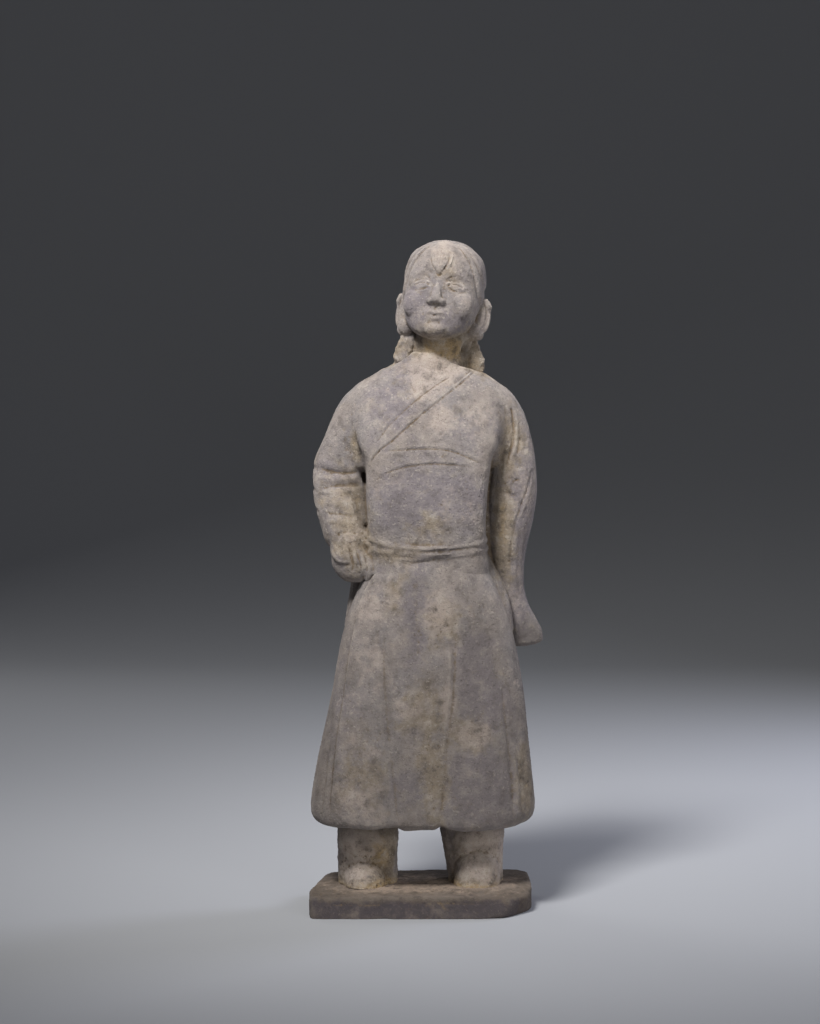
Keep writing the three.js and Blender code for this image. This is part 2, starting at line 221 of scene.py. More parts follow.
class Clay:  # a skin's points, with the tools that press, raise and rub them
    def __init__(self, piece):
        self.mesh = piece.data
        self.count = len(self.mesh.vertices)
        self.points = np.zeros(self.count * 3)
        self.mesh.vertices.foreach_get("co", self.points)
        self.points = self.points.reshape(-1, 3)
        edges = np.zeros(len(self.mesh.edges) * 2, int)
        self.mesh.edges.foreach_get("vertices", edges)
        self.edges = edges.reshape(-1, 2)
        self.degree = np.bincount(edges, minlength=self.count)
        self.refresh()
        print(piece.name, "has a skin of", self.count, "points")

    def refresh(self):  # puts the points back in the mesh and reads the new normals
        self.mesh.vertices.foreach_set("co", self.points.ravel())
        self.mesh.update()
        normals = np.zeros(self.count * 3)
        self.mesh.vertex_normals.foreach_get("vector", normals)
        self.normals = normals.reshape(-1, 3)

    def around(self, values):  # each point's mean of its neighbours
        one, two = self.edges.T
        sums = [np.bincount(one, values[two, k], self.count) + np.bincount(two, values[one, k], self.count)
                for k in range(values.shape[1])]
        return np.stack(sums, 1) / self.degree[:, None]

    def rub(self, rounds, share=0.5, where=None):  # smooths, all over or by a 0 to 1 mask
        weight = share if where is None else share * where[:, None]
        for _ in range(rounds):
            self.points += (self.around(self.points) - self.points) * weight
        self.refresh()

    def push(self, height):  # moves the skin out along its normals
        self.points += self.normals * height[:, None]
        self.refresh()

    def blob(self, place, radii):  # 1 at a place, fading to 0 past the radii
        away = ((self.points - np.array(place)) / np.array(radii)) ** 2
        return np.exp(-away.sum(1))

    def land(self, line, facing, steep):  # lays a flat line on the skin as seen from one side
        spacing, within = 0.7, 1.6  # mm from point to point, and to the skin's points that may carry one
        axis, sign, flat = sides[facing]
        line = np.array(line, float)
        length = np.linalg.norm(np.diff(line, axis=0), axis=1).sum()
        path = smoothPath(line, max(int(length / spacing), 4))
        spread = self.points[:, flat]
        low, high = path.min(0) - 2, path.max(0) + 2
        near = np.where(((spread > low) & (spread < high)).all(1) & (self.normals[:, axis] * sign > -0.1))[0]
        seen, landed = spread[near], []
        for spot in path:
            away = ((seen - spot) ** 2).sum(1)
            close = away < within ** 2
            if not close.any():
                continue
            nearness = self.points[near[close], axis] * sign - 0.6 * np.sqrt(away[close])
            outer = near[close][np.argmax(nearness)]
            point = np.empty(3)
            point[axis] = self.points[outer, axis]
            point[flat] = spot
            if steep:  # the same, brought down to the skin's own plane
                lean = self.normals[outer]
                point[axis] += (spread[outer] - spot) @ lean[flat] / min(lean[axis], -0.25)
            landed.append(point)
        return np.array(landed)

    def apart(self, line, reach):  # points near a line: index, distance, share along it, and signed side
        low, high = line.min(0) - reach, line.max(0) + reach
        near = np.where(((self.points > low) & (self.points < high)).all(1))[0]
        best = np.full(len(near), 1e9)
        share, side = np.zeros(len(near)), np.zeros(len(near))
        spans = np.diff(line, axis=0)
        for i, span in enumerate(spans):
            gap = self.points[near] - line[i]
            t = np.clip(gap @ span / max(span @ span, 1e-9), 0, 1)
            foot = gap - t[:, None] * span
            far = np.sqrt((foot ** 2).sum(1))
            closer = far < best
            best[closer] = far[closer]
            share[closer] = ((i + t) / len(spans))[closer]
            side[closer] = np.sign((np.cross(span, self.normals[near]) * foot).sum(1))[closer]
        return near, best, share, side * best

    def mark(self, facing, kind, height, width, line, taper=0.12):  # one stroke of a tool
        path = self.land(line, facing, kind == "steepGroove")
        if len(path) < 2:
            print("a stroke missed the clay", kind, line[0])
            return
        near, away, share, side = self.apart(path, width * (8 if kind == "step" else 4))
        ends = smoothstep(np.minimum(share, 1 - share), -0.001, taper)
        profile = strokeProfile(kind, away, side, width)
        self.points[near] += self.normals[near] * (height * profile * ends)[:, None]

    def marks(self, strokes):  # (kind, height, width, line) for each, listed by the side it is seen from
        for facing, group in strokes.items():
            for stroke in group:
                self.mark(facing, *stroke)
        self.refresh()


def hashed(cells, salt):  # a steady random number from 0 to 1 for each lattice cell
    primes = np.array([73856093, 19349663, 83492791], np.uint32)
    key = (cells.astype(np.uint32) * primes).sum(1, dtype=np.uint32)
    key = key + np.uint32(salt * 2654435 + 101)
    for shift, factor in ((15, 2246822519), (13, 3266489917), (16, 668265263)):
        key = (key ^ (key >> np.uint32(shift))) * np.uint32(factor)
    return (key ^ (key >> np.uint32(15))).astype(float) / 2 ** 32


def cloud(points, size, salt, rounds=1):  # soft noise from -1 to 1, with features of that size
    total, weight = 0, 0
    for turn in range(rounds):
        spot = points / (size / 2 ** turn) + salt * 13.7
        cell = np.floor(spot).astype(np.int64)
        f = spot - cell
        f = f * f * (3 - 2 * f)
        value = 0
        for corner in product((0, 1), repeat=3):
            share = np.prod(np.where(corner, f, 1 - f), axis=1)
            value = value + share * hashed(cell + np.array(corner), salt + turn)
        total = total + (value * 2 - 1) / 2 ** turn
        weight += 1 / 2 ** turn
    return total / weight


def grains(points, size, salt):  # distance to the nearest scattered grain, in grain spacings
    spot = points / size
    cell = np.floor(spot).astype(np.int64)
    best = np.full(len(points), 9.0)
    for step in product((-1, 0, 1), repeat=3):
        home = cell + np.array(step)
        grain = home + np.stack([hashed(home, salt + k) for k in range(3)], 1)
        best = np.minimum(best, ((spot - grain) ** 2).sum(1))
    return np.sqrt(best)


chance = {  # what chance adds to the patches: mm across, and how much on the breast and lower down
    # painted shade that grows from the breast down to the hem and fades out over the legs
    "hemwardPaintedShade": (11, 0, 0.72),
    "blotches": (12, 0.07, 0.2),
    "bloom": (11, 0.2, 0.4),
}

# how much of each film lies everywhere, and the patches where more of it does:
# (x, y, z, radius in x, y, z, strength)
filmPatches = {
    "earth": {"everywhere": 0.08, "patches": [
        # head and neck
        (11, -12, 267, 13, 10, 8, 1.8), (-11, 4, 266, 8, 12, 10, 1.1), (12, -18, 300, 12, 8, 16, 0.3),
        # breast, belly and arms
        (-30, -8, 195, 4, 8, 12, 0.6), (-36, -10, 190, 10, 12, 16, 0.7), (-31, -8, 222, 2.6, 10, 8, 1.1),
        (-28, -12, 178, 10, 10, 10, 0.7), (42, -6, 226, 8, 10, 14, 0.6), (40, -4, 196, 5, 10, 22, 0.8),
        (26, 4, 260, 8, 12, 14, 1.2), (4, -27, 184, 7, 8, 7, 0.7), (0, -22, 250, 14, 8, 10, 0.2),
        (-46, 0, 212, 8, 14, 10, 0.3),
        # sash, fist and skirt
        (9, -28, 140, 8, 8, 12, 0.4), (-33, -18, 166, 10, 8, 10, 0.4), (39, 0, 170, 6, 12, 24, 0.7),
        (11, -28, 140, 7, 8, 10, 0.7), (-2, -30, 96, 12, 8, 6, 0.4), (-14, -28, 152, 6, 8, 9, 0.6),
        (0, -30, 98, 11, 8, 16, 0.5), (23, -30, 86, 8, 8, 7, 1), (7, -30, 62, 7, 8, 20, 0.9),
        (-29, -30, 64, 13, 10, 19, 0.6), (49, -20, 62, 6, 16, 22, 0.9), (-12, -24, 170, 14, 6, 6, 0.5),
        # legs and shoes
        (-21, -8, 27, 8, 14, 14, 1.5), (-32, -8, 28, 8, 14, 14, 0.6), (22, -8, 30, 9, 14, 12, 1),
        (33, -8, 26, 8, 14, 14, 0.5),
        # slab
        (0, -8, 11, 90, 46, 3.6, 1.45),
    ]},
    "pale": {"everywhere": 0.06, "patches": [  # lime bloom, and painted highlights down a fold ridge of the skirt and along the slab's front edge
        # head and neck
        (12, -10, 316, 20, 14, 10, 0.5),
        # breast, belly and arms
        (2, -12, 260, 7, 8, 4.6, 0.9), (12, -12, 258.4, 10, 8, 3.6, 0.9), (0, -22, 248, 6, 8, 5, 1.2),
        (5, -15, 256, 7, 8, 7, 1), (9, -24, 234, 6, 8, 8, 1), (27, -20, 234, 11, 10, 13, 0.5),
        (6, -16, 256, 12, 8, 6, 0.9), (-35, -14, 178, 8, 8, 6, 0.5), (-36, -8, 205, 10, 10, 10, 0.4),
        (-18, -14, 244, 14, 12, 10, 0.2), (50, -6, 200, 5, 10, 14, 0.4),
        # sash, fist and skirt; the thin tall patch at x 13 is a painted highlight down a fold ridge
        (-22, -26, 150, 10, 8, 14, 0.5), (24, -30, 86, 5, 8, 4.5, 1), (13, -30, 102, 2.4, 6, 13, 0.9),
        (9, -28, 143, 8, 8, 13, 1), (25, -31, 85.5, 8, 9, 6, 1.2), (-3, -30, 97, 11, 8, 5, 0.7),
        (-27, -28, 116, 11, 10, 28, 0.35), (-29, -30, 64, 12, 8, 18, 0.3),
        # legs and shoes
        (27, -14, 18, 12, 9, 9, 0.7), (-27, -14, 15, 12, 9, 7, 0.6), (-26, -8, 33, 15, 12, 6, 0.5),
        (22, -8, 34, 10, 12, 5, 0.6), (-34.5, -8, 30, 2.5, 12, 3.4, 1.8), (-30, -8, 24.5, 3.6, 12, 2, 1.5),
        (-24, -8, 27, 2, 12, 2, 1.3), (30, -8, 34, 3, 12, 2.6, 1.2), (24, -8, 37, 2.6, 12, 2, 1.2),
        (38, -8, 26, 4, 12, 14, 1.3), (-33, -8, 25, 7, 12, 12, 1), (33, -8, 33, 8, 12, 7, 0.9),
        (25, -10, 28, 6, 10, 8, 0.5),
        # slab: a painted highlight along the front edge of the top
        (-10, -32, 10.4, 34, 6, 2, 0.9),
    ]},
    "violet": {"everywhere": 0.12, "patches": [  # cooler, violet-grey clay
        # head and neck
        (-3, -16, 285, 6, 12, 7, 0.8), (17, -16, 279, 8, 12, 6, 0.8), (-8, -20, 292, 10, 10, 12, 0.7),
        # breast, belly and arms
        (-14, -20, 240, 11, 10, 14, 0.8), (-9, -14, 257, 3.6, 8, 6, 1), (-4, -14, 259.4, 4, 8, 5.4, 1.3),
        (-8, -26, 192, 11, 8, 9, 1), (20, -25, 196, 8, 8, 7, 1), (2, -26, 202, 24, 8, 12, 0.6),
        (22, -20, 230, 14, 10, 12, 0.3), (49, -2, 190, 7, 12, 28, 0.9), (-46, -4, 206, 10, 12, 8, 0.3),
        # sash, fist and skirt
        (-2, -28, 144, 5, 8, 22, 1), (24, -28, 123, 8, 8, 9, 1), (31, -28, 103, 13, 10, 13, 1),
        (29, -30, 60, 16, 10, 17, 1), (-7, -30, 60, 8, 8, 9, 0.8), (-36, -20, 100, 10, 12, 30, 0.25),
        (47, 2, 150, 8, 12, 26, 0.7),
        # slab
        (0, -34, 5, 60, 8, 8, 0.9),
    ]},
    "shade": {"everywhere": 0, "patches": [  # painted shade in slits, recesses and folds and under the fist, and darker patches of grime
        # head and neck: painted shade in the pit between the neck and the left plait, and darker patches on
        # the face and neck
        (21.2, -7, 266.2, 2, 6, 3.6, 1.3), (8, -6, 274, 14, 12, 6, 0.4), (-3, -16, 284, 6, 12, 7, 0.25),
        (17, -16, 278, 8, 12, 6, 0.25), (7, -16, 286, 15, 14, 13, 0.25),
        # breast, belly and arms: painted shade in the slit between the right arm and the body, along the
        # elbow's creases and in the recess beside the left sleeve, and darker patches
        (-4, -14, 259.4, 3.4, 8, 5, 0.45), (-27, -4, 194, 2.4, 14, 16, 1.2), (-8, -26, 190, 9, 8, 8, 0.3),
        (20, -25, 196, 6, 8, 5, 0.35), (35, -5, 196, 4, 10, 22, 0.3), (-29, -4, 194, 3, 10, 12, 0.8),
        (-28.6, -8, 194, 3.4, 8, 13, 1), (-36, -8, 203.4, 10, 8, 1.8, 0.8),
        (-34, -8, 209.6, 8, 8, 1.6, 0.6), (-27.6, -2, 196, 2.4, 12, 9, 0.9), (46, -6, 196, 7, 10, 20, 0.25),
        # sash, fist and skirt: painted shade below the sash, under the fist and along the skirt's folds, and
        # darker patches
        (8, -24, 171, 26, 6, 4, 0.3), (22, -28, 118, 18, 8, 28, 0.22), (4, -32, 66, 44, 10, 24, 0.22),
        (12, -24, 169, 18, 6, 6, 0.15), (-16, -29, 106, 2.6, 8, 28, 0.4), (-2, -28, 146, 4, 8, 20, 0.3),
        (29, -26, 131, 6, 8, 7, 0.4), (5, -30, 112, 6, 8, 4, 0.45), (36, -28, 102, 5, 8, 12, 0.15),
        (-7, -30, 60, 7, 8, 8, 0.2), (24, -28, 120, 6, 8, 5, 0.25), (-47, -20, 58, 4, 14, 26, 0.4),
        (-42, -20, 72, 1.6, 14, 30, 0.5), (-47, -20, 58, 1.6, 14, 16, 0.5), (42, -20, 78, 1.6, 14, 22, 0.4),
        (51, 8, 130, 7, 12, 8, 0.6), (24, -26, 148, 12, 8, 14, 0.25), (6, -26, 154, 12, 8, 10, 0.15),
        (-34, -12, 160, 10, 10, 6, 0.4), (28, -30, 58, 15, 8, 15, 0.25),
        # legs and shoes
        (-27, -8, 31, 4, 12, 4, 0.9), (-20, -8, 36, 7, 12, 3, 0.6), (-35, -8, 20, 3, 12, 4, 0.8),
        (-21, -8, 25, 3, 12, 4, 0.7), (16, -8, 28, 4, 12, 10, 0.8), (28, -8, 29.4, 8, 12, 1.6, 0.6),
        (19, -8, 35, 5, 12, 4, 0.6), (30, -8, 25, 2, 12, 4, 0.3),
        # slab: a faint painted shadow on the top behind the legs
        (0, 14, 14, 14, 20, 5, 0.05),
    ]},
}


def films(clay):  # how much of each film lies on each point
    made = {}
    for name, film in filmPatches.items():
        total = np.full(clay.count, float(film["everywhere"]))
        for *spot, strength in film["patches"]:
            total += strength * clay.blob(spot[:3], spot[3:])
        made[name] = np.clip(total, 0, 2)
    z = clay.points[:, 2]
    # painted shade: darker from the breast down towards the hem, broken up by chance
    size, high, low = chance["hemwardPaintedShade"]
    hemwardPaintedShade = high + (low - high) * smoothstep(z, 220, 78) * smoothstep(z, 26, 44)
    hemwardPaintedShade = hemwardPaintedShade * (1 + 0.6 * cloud(clay.points, size, seed + 40, 3))
    size, high, low = chance["blotches"]
    blotches = smoothstep(cloud(clay.points, size, seed + 50, 5), 0.08, 0.36)
    blotches = blotches * (high + (low - high) * smoothstep(z, 225, 170))
    size, high, low = chance["bloom"]
    bloom = smoothstep(cloud(clay.points, size, seed + 60, 5), 0.1, 0.4)
    bloom = bloom * (high + (low - high) * smoothstep(z, 225, 200))
    made["shade"] = np.clip(made["shade"] + hemwardPaintedShade + blotches, 0, 1)
    made["pale"] = made["pale"] + bloom
    return made


wear = {  # mm, across and deep, of what burial and handling have left on every skin
    "dents": (9, 0.2),
    "brushing": (1.9, 0.09),
    "pits": (2.6, 0.28),
    "crumbs": (2.1, 0.2),
    "roughPatches": 14,
}


def weather(clay, rough, salt):  # wear, pitting and stuck earth over a whole skin
    points = clay.points
    rough = rough * (0.8 + 0.7 * films(clay)["earth"])  # burial earth lies rough
    (dent, dentDeep), (brush, brushDeep) = wear["dents"], wear["brushing"]
    (pit, pitDeep), (crumb, crumbHigh) = wear["pits"], wear["crumbs"]
    worn = dentDeep * cloud(points, dent, salt, 3) + brushDeep * cloud(points, brush, salt + 5, 2)
    patch = smoothstep(cloud(points, wear["roughPatches"], salt + 9, 2), -0.1, 0.5)
    pits = smoothstep(grains(points, pit, salt + 20), 0.34, 0.12) * (0.25 + 0.75 * patch)
    crumbs = smoothstep(grains(points, crumb, salt + 30), 0.3, 0.12) * patch
    clay.push((worn - pitDeep * pits + crumbHigh * crumbs) * rough)


def hollows(clay):  # how sunk each point is, in fine creases and in broad recesses
    eased = clay.points.copy()
    for turn in range(60):
        eased = eased + (clay.around(eased) - eased) * 0.6
        if turn == 9:
            near = ((eased - clay.points) * clay.normals).sum(1)
    broad = ((eased - clay.points) * clay.normals).sum(1)
    return {"crease": np.clip(near * 2.4, -1, 1), "recess": np.clip(broad * 0.8, -1, 1)}


def finished(clay, piece, triangles):  # thins a skin, stores its values on it, and turns it to metres
    values = {**hollows(clay), **films(clay)}
    tree = KDTree(clay.count)
    for i, point in enumerate(clay.points):
        tree.insert(point, i)
    tree.balance()
    thinned(piece, triangles)
    match = np.array([tree.find(vert.co)[1] for vert in piece.data.vertices])
    for name, value in values.items():
        layer = piece.data.attributes.new(name, "FLOAT", "POINT")
        layer.data.foreach_set("value", value[match].astype(np.float32))
    piece.data.transform(Matrix.Scale(millimetre, 4))
    piece.data.shade_smooth()
    return piece


robe = {  # the torso's level sections, from the sash to the neck
    "centre": smoothCurve([(160, 3), (195, 2.6), (214, 3.4), (230, 3.3), (241, 3.4), (248, 3.4), (255, 4.4),
                           (258, 5.4), (262, 6.8), (268, 8.6), (274, 9.4)]),
    "half": smoothCurve([(160, 30), (166, 29.4), (174, 28.4), (183, 28), (195, 28.6), (206, 29.2), (214, 30),
                         (222, 33.6), (230, 35.6), (236, 37), (241.5, 38), (246.5, 37.4), (250, 35),
                         (252.6, 31.6), (255, 27.6), (258, 24), (262, 20.6), (266, 17.6), (270, 15.6),
                         (274, 14.4)]),
    "front": smoothCurve([(160, 24), (170, 23.2), (178, 24), (190, 26.2), (200, 26.3), (212, 26.4), (222, 26),
                          (232, 24.4), (240, 22), (246, 19.6), (252, 16.8), (257, 14.2), (262, 12),
                          (268, 10.6), (274, 10)]),
    "back": smoothCurve([(160, 21), (170, 20.2), (195, 20.8), (222, 23.4), (238, 21.8), (248, 19), (256, 17),
                         (264, 16), (274, 15.6)]),
    "power": smoothCurve([(160, 3), (172, 4), (182, 6.4), (214, 6.4), (222, 5.2), (230, 3.8), (240, 2.6),
                          (256, 2.1), (274, 2)]),
}

torso = {
    "voxel": 0.52,  # mm, grain of the clay before it is thinned
    "triangles": 194000,
    "roughness": 1.0,
    # the collar's height across the body: high at the right of the throat, low beside each plait
    "collar": smoothCurve([(-17, 257), (-14, 258.4), (-10, 260.8), (-6, 263.6), (-3, 265.6), (-0.6, 265.4),
                           (5.5, 263.2), (14.4, 260.6), (19, 258.8), (27, 256.2), (34, 253.6)]),
    "collarRise": 0.1,  # and how much it climbs towards the nape
    # the sash is two cords that dip a little at the middle of the front: (degrees round, height)
    "sashCords": [
        {"sunk": 0.95, "levels": [(0, 173), (13, 173.9), (36, 175.2), (62, 176.4), (95, 176.8), (180, 175.6),
                                  (265, 177), (300, 177.4), (330, 175.6), (346, 174), (360, 173)]},
        {"sunk": 0.8, "levels": [(0, 169.5), (13, 170.1), (24, 170.8), (50, 172), (95, 172.6), (180, 171.6),
                                 (265, 172.4), (300, 172), (330, 171.4), (346, 170.6), (360, 169.5)]},
    ],
    "cordRadius": 1.7,
    # where limbs and body run into each other softly: a place and its radii
    "softJoins": [
        ((-30, -2, 236), (13, 16, 16)), ((37, 0, 240), (13, 16, 12)), ((-27, -8, 222), (7, 8, 10)),
        ((37, -4, 226), (6, 8, 8)), ((-28, 14, 225), (12, 8, 26)), ((36, 14, 222), (12, 8, 28)),
        ((-31, -5, 222), (6, 9, 12)),
    ],
    "fistJoin": ((-34, -12, 174), (14, 14, 12)),
    "armpitJoin": ((-34, -6, 226), (4, 10, 8)),
    "sleeveFallsBack": 1.2,  # mm, the left sleeve's inner side, beside the body
}


def neckline(x, y):  # the height at which the robe's cloth ends
    return torso["collar"](x) + torso["collarRise"] * (y + 10)


def addSashCord(bm, levels, sunk):  # a cord once round the waist, at heights given by angle
    height = smoothCurve(levels)

    def place(share, angle):
        turn = share * 2 * math.pi
        z = height(np.degrees(turn))
        half = robe["half"](z) - sunk
        reach = (robe["front"](z) + robe["back"](z)) / 2 - sunk
        mid = (robe["back"](z) - robe["front"](z)) / 2
        power = robe["power"](z)
        spot = np.stack([robe["centre"](z) + half * squared(np.sin(turn), power),
                         mid - reach * squared(np.cos(turn), power), z], 1)
        outward = unit(np.stack([np.sin(turn), -np.cos(turn), 0 * turn], 1))
        thick = torso["cordRadius"] * (1 + 0.07 * np.sin(turn * 11) + 0.05 * np.sin(turn * 23))
        wall = (spot + outward * (np.cos(angle) * thick)[:, None]
                + np.array([0, 0, 1.16]) * (np.sin(angle) * thick)[:, None])
        return spot, wall
    addBarrel(bm, 12, 240, place)


rightArm = [  # bent so that the fist rests at the hip: stations down each limb, and how it is made
    ([(-21, 2.5, 246, 9, 11), (-28, 3, 239.6, 10.2, 12), (-32.6, 4, 231.4, 10.6, 12.6),
      (-36.4, 5, 221.6, 10.7, 12.8), (-39.5, 6, 211.6, 12.1, 12.8), (-40.5, 5, 204, 11.5, 12.4),
      (-39.8, 1.5, 195, 11.3, 12.2), (-37.6, -3.4, 186, 10.8, 11.4), (-35.6, -7.4, 177, 10.2, 10.4),
      (-34.2, -9.4, 171, 9.4, 9.4)], {"around": 56, "rings": 80, "power": 2.5}),
    ([(-26, -5, 243, 7, 9), (-28, -4, 233, 6.6, 9), (-28.8, -3.8, 223, 5.4, 8.4), (-28.4, -4, 215, 4.6, 7.6),
      (-28.4, -4, 209, 4, 7)], {"power": 2.3}),  # armpit
    ([(-32.2, 0, 215, 3.6, 6.4), (-32.2, -0.4, 207, 3.7, 6.6), (-31.4, -1.2, 200, 4.5, 6.8),
      (-31, -2.6, 194, 5, 7.2), (-30.4, -4.4, 187, 5.2, 7.4), (-29.6, -6, 180, 5, 7)],
     {"power": 3.6}),  # the forearm's inner side
    ([(-28, 8, 224, 7, 7), (-29, 7, 213, 7, 7.6), (-29, 6.4, 203, 7, 7.6), (-28.8, 5, 192, 7, 8),
      (-28, 1, 178, 8, 8)], {}),  # clay behind the arm
]

leftArm = [  # hanging inside a long sleeve
    ([(25, 3, 246, 8.6, 11), (34, 3, 241.4, 10.2, 12), (39.5, 3.4, 234, 10.2, 12.2),
      (42.7, 4, 225, 9.9, 12.4), (44.1, 4.6, 216, 10.6, 12.6), (44.3, 5, 207, 11.2, 12.6),
      (44, 5.4, 198, 11.6, 12.4), (43.2, 6, 187, 10.8, 11.8), (42, 7, 175, 9.2, 10.8),
      (42.3, 8.4, 163, 7.4, 9.8), (43.9, 9.8, 152, 6.1, 9), (46.6, 11, 143, 5.7, 8.8),
      (49.2, 12, 135.4, 7, 8.2), (50.6, 12.6, 129.6, 8.4, 7.2), (51.4, 12.8, 124, 7.8, 6.2)],
     {"around": 64, "rings": 110, "ends": 0.14, "power": 2.8}),
    ([(30.6, -6, 243, 7, 9), (34, -6, 233, 6.6, 9), (35.4, -4, 222, 5.4, 8), (34.4, 2, 212, 4.6, 6)],
     {"power": 2.3}),  # armpit
    ([(33, 8, 222, 7, 5), (34.5, 6.4, 205, 8.5, 6), (34.5, 6.6, 185, 8.5, 6), (34.6, 8, 165, 9, 6),
      (37, 9, 146, 8, 7)], {}),  # clay behind the sleeve
]

fist = {
    "lumps": [((-33, -9.4, 167.6), (9.9, 8.4, 11.6), (0, -8, 0)), ((-30.4, -9.6, 163.8), (7.2, 7.6, 7.8)),
              ((-33.4, -9.6, 176.6), (9.6, 8.4, 8), (0, 10, 0))],
    "thumb": [(-40.2, -10.4, 177, 2.4, 3), (-40.8, -12.6, 171.6, 2.6, 3), (-38.4, -15.6, 167.6, 2.4, 2.6),
              (-34.8, -17.2, 167, 1.8, 2)],
    "fingers": [(-35.6, 174.4), (-31.6, 173.8), (-28, 171.4), (-25.2, 168.6)],  # each one's x and height
    # loose turns of the sash drawn out of the fist to the knot: (x, y, z, share of the full thickness)
    "sashTurns": [
        [(-29.4, -13, 182, 1), (-23.6, -17, 178, 1), (-16.2, -20.9, 175.2, 1), (-8.2, -23.4, 173.8, 1),
         (2, -24.6, 173, 0.9), (12, -24.4, 173.6, 0.6)],
        [(-28.6, -14.4, 179.2, 1), (-22.6, -17.6, 175.4, 1), (-15.5, -21, 173.1, 1), (-8, -23.5, 172, 1),
         (0, -24.3, 171.5, 0.8), (8, -24, 171.6, 0.5)],
        [(-27.6, -15, 176.4, 1), (-21.8, -18, 173.3, 1), (-15, -21.2, 171.2, 1), (-8, -23.4, 170.4, 1),
         (2, -24.4, 169.6, 0.9), (14, -24.2, 170.3, 0.6)],
        [(-25.4, -15.8, 171.8, 1), (-19.4, -19, 169.6, 1), (-12.4, -22, 168.2, 1), (-4, -23.5, 167.8, 0.8),
         (5, -23.8, 168.2, 0.5)],
    ],
    "turnHalves": (0.95, 1.25),  # mm, across and deep
    "web": ((-24, -8.6, 175.4), (7, 8, 6.4), (0, 20, 0)),  # clay that the turns lie on
    "knot": ((-3, -23.6, 170.6), (4.6, 1.4, 2.6), (0, 14, 0)),
}


def addFist(bm):
    for lump in fist["lumps"]:
        addLump(bm, *lump)
    addLimb(bm, fist["thumb"], around=18, rings=24)
    for x, z in fist["fingers"]:
        addLimb(bm, [(x - 0.6, -13.4, z + 2, 1.9, 2), (x, -16, z - 2, 2, 2.2),
                     (x + 0.6, -16.4, z - 7, 2, 2.2), (x, -13.4, z - 12, 1.8, 2)], around=16, rings=24)
    addLump(bm, *fist["web"])
    wide, deep = fist["turnHalves"]
    for turn in fist["sashTurns"]:
        addLimb(bm, [(x, y, z, wide * thick, deep * thick) for x, y, z, thick in turn], around=14)
    addLump(bm, *fist["knot"])


def torsoForms():
    bm = bmesh.new()
    addLevels(bm, 160, 274, robe, around=128, rings=150, ceiling=neckline)
    for cord in torso["sashCords"]:
        addSashCord(bm, cord["levels"], cord["sunk"])
    for stations, made in rightArm + leftArm:
        addLimb(bm, stations, **made)
    addFist(bm)
    return bm


lapEdge = [(28, 258), (22, 253.6), (14.6, 247.8), (8, 242.5), (2, 237.8), (-3.5, 233), (-8.5, 228.5),
           (-13.4, 224), (-19, 219.8), (-22.6, 216), (-25, 212)]

